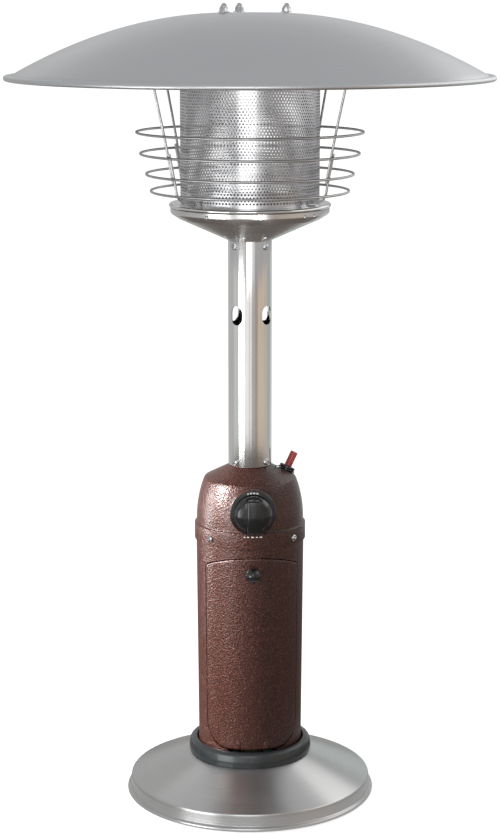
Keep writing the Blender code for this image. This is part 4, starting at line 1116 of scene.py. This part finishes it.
# What the polished parts reflect: walls of a booth, tier by tier. A tier is (its top, its cards), and a
# card is (azimuth from the camera where it starts, colour), up to where the next one starts.
GREY, DIM, DARK = (0.50, 0.50, 0.50), (0.42, 0.41, 0.42), (0.15, 0.13, 0.12)
SKY, BRIGHT = (0.80, 0.80, 0.80), (1.4, 1.4, 1.4)
SOFTBOX, STRIP = (5.0, 5.1, 5.1), (2.8, 2.8, 2.85)
BOOTH_RADIUS = 1.38
SKY_STRENGTH = 0.45              # the camera itself sees a white sky
BOOTH = (
    (0.56, ((-180, (0.51, 0.51, 0.51)), (-96, (0.62, 0.64, 0.63)), (-60, SOFTBOX), (-30, (1.0, 1.0, 1.0)),
            (-5, (0.55, 0.55, 0.55)), (-2, (0.92, 0.92, 0.92)), (9, (0.50, 0.47, 0.46)),
            (26, (0.44, 0.36, 0.31)), (41, (0.66, 0.54, 0.44)), (78, (0.58, 0.52, 0.46)),
            (101, (0.46, 0.46, 0.46)), (132, (0.60, 0.64, 0.63)))),
    (0.84, ((-180, GREY), (-125, DIM), (-48, GREY), (-17, STRIP), (9, SKY), (24, DIM))),
    (1.20, ((-180, GREY), (-17, STRIP), (9, GREY), (60, BRIGHT), (150, GREY))),
    (1.70, ((-180, SKY), (-140, GREY), (-20, GREY), (60, BRIGHT), (150, SKY))),
)


def stage_unseen(piece, material):
    """Stage a piece that shows in reflections and nowhere else."""
    piece.data.materials.append(material)
    piece.visible_camera = False
    piece.visible_diffuse = False
    piece.visible_shadow = False
    piece.visible_transmission = False


def make_booth():
    bottom = 0.0
    for tier, (top, cards) in enumerate(BOOTH):
        for index, (start, colour) in enumerate(cards):
            end = cards[index + 1][0] if index + 1 < len(cards) else 180
            steps = max(2, round((end - start) / 6))
            bm = bmesh.new()
            posts = []
            for step in range(steps + 1):
                azimuth = CAMERA_AZIMUTH + start + (end - start) * step / steps
                posts.append([bm.verts.new(around(BOOTH_RADIUS, azimuth, z)) for z in (bottom, top)])
            for first, second in zip(posts, posts[1:]):
                bm.faces.new((first[0], second[0], second[1], first[1]))
            name = f"booth_{tier + 1}_{index + 1}"
            stage_unseen(mesh_object(name, bm), emission(name, colour))
        bottom = top
    discs = (("booth_ceiling", BOOTH_RADIUS, bottom, (0.52, 0.52, 0.53)),
             ("booth_floor", BOOTH_RADIUS, -0.002, DARK), ("booth_sheet", 0.23, -0.001, (0.5, 0.5, 0.5)))
    for name, radius, z, colour in discs:
        bm = bmesh.new()
        bmesh.ops.create_circle(bm, cap_ends=True, segments=64, radius=radius)
        bmesh.ops.translate(bm, verts=bm.verts, vec=(0, 0, z))
        stage_unseen(mesh_object(name, bm), emission(name, colour))


def add_light(name, azimuth, distance, height, aim_height, width, tall, power, receivers=None):
    """An area light that aims at the axis. With receivers, it shines on those finishes alone."""
    data = bpy.data.lights.new(name, 'AREA')
    data.shape = 'RECTANGLE'
    data.size = width
    data.size_y = tall
    data.energy = power
    light = bpy.data.objects.new(name, data)
    bpy.context.scene.collection.objects.link(light)
    light.location = around(distance, CAMERA_AZIMUTH + azimuth, height)
    aim = Vector((0, 0, aim_height)) - light.location
    light.rotation_euler = aim.to_track_quat('-Z', 'Y').to_euler()
    light.visible_camera = False
    light.visible_glossy = receivers is not None
    if receivers:
        group = bpy.data.collections.new(f"{name}_receivers")
        lit = [FINISHES[finish] for finish in receivers]
        for piece in list(bpy.data.objects):
            if piece.type == 'MESH' and piece.data.materials and piece.data.materials[0] in lit:
                group.objects.link(piece)
        light.light_linking.receiver_collection = group


def make_lights():
    world = bpy.data.worlds.new("studio")
    bpy.context.scene.world = world
    world.use_nodes = True
    tree = world.node_tree
    seen = add_node(tree, "LightPath").outputs["Is Camera Ray"]
    sky = tree.nodes["Background"]
    sky.inputs["Color"].default_value = (1.0, 1.0, 1.0, 1.0)
    tree.links.new(spread(tree, seen, SKY_STRENGTH, 1.0), sky.inputs["Strength"])
    add_light("key", -72, 1.35, 0.62, 0.35, 0.55, 0.9, 24.0)
    add_light("dome_softbox", -70, 1.15, 0.78, 0.36, 0.46, 0.40, 40.0, ("hammered_bronze",))
    add_light("side_strip", -98, 1.15, 0.34, 0.22, 0.34, 0.60, 9.0, ("hammered_bronze",))
    add_light("bowl_strip", 14, 1.20, 0.30, 0.72, 0.06, 0.70, 5.0, ("bowl_steel",))
    bpy.context.scene.view_settings.view_transform = 'Standard'


make_camera()
make_floor()
make_booth()
make_base()
make_housing()
make_door()
make_valve_housing()
make_igniter()
make_knob()
make_screws()
make_post()
make_burner()
make_emitter()
make_guard()
make_reflector()
keep_nodes()
make_lights()
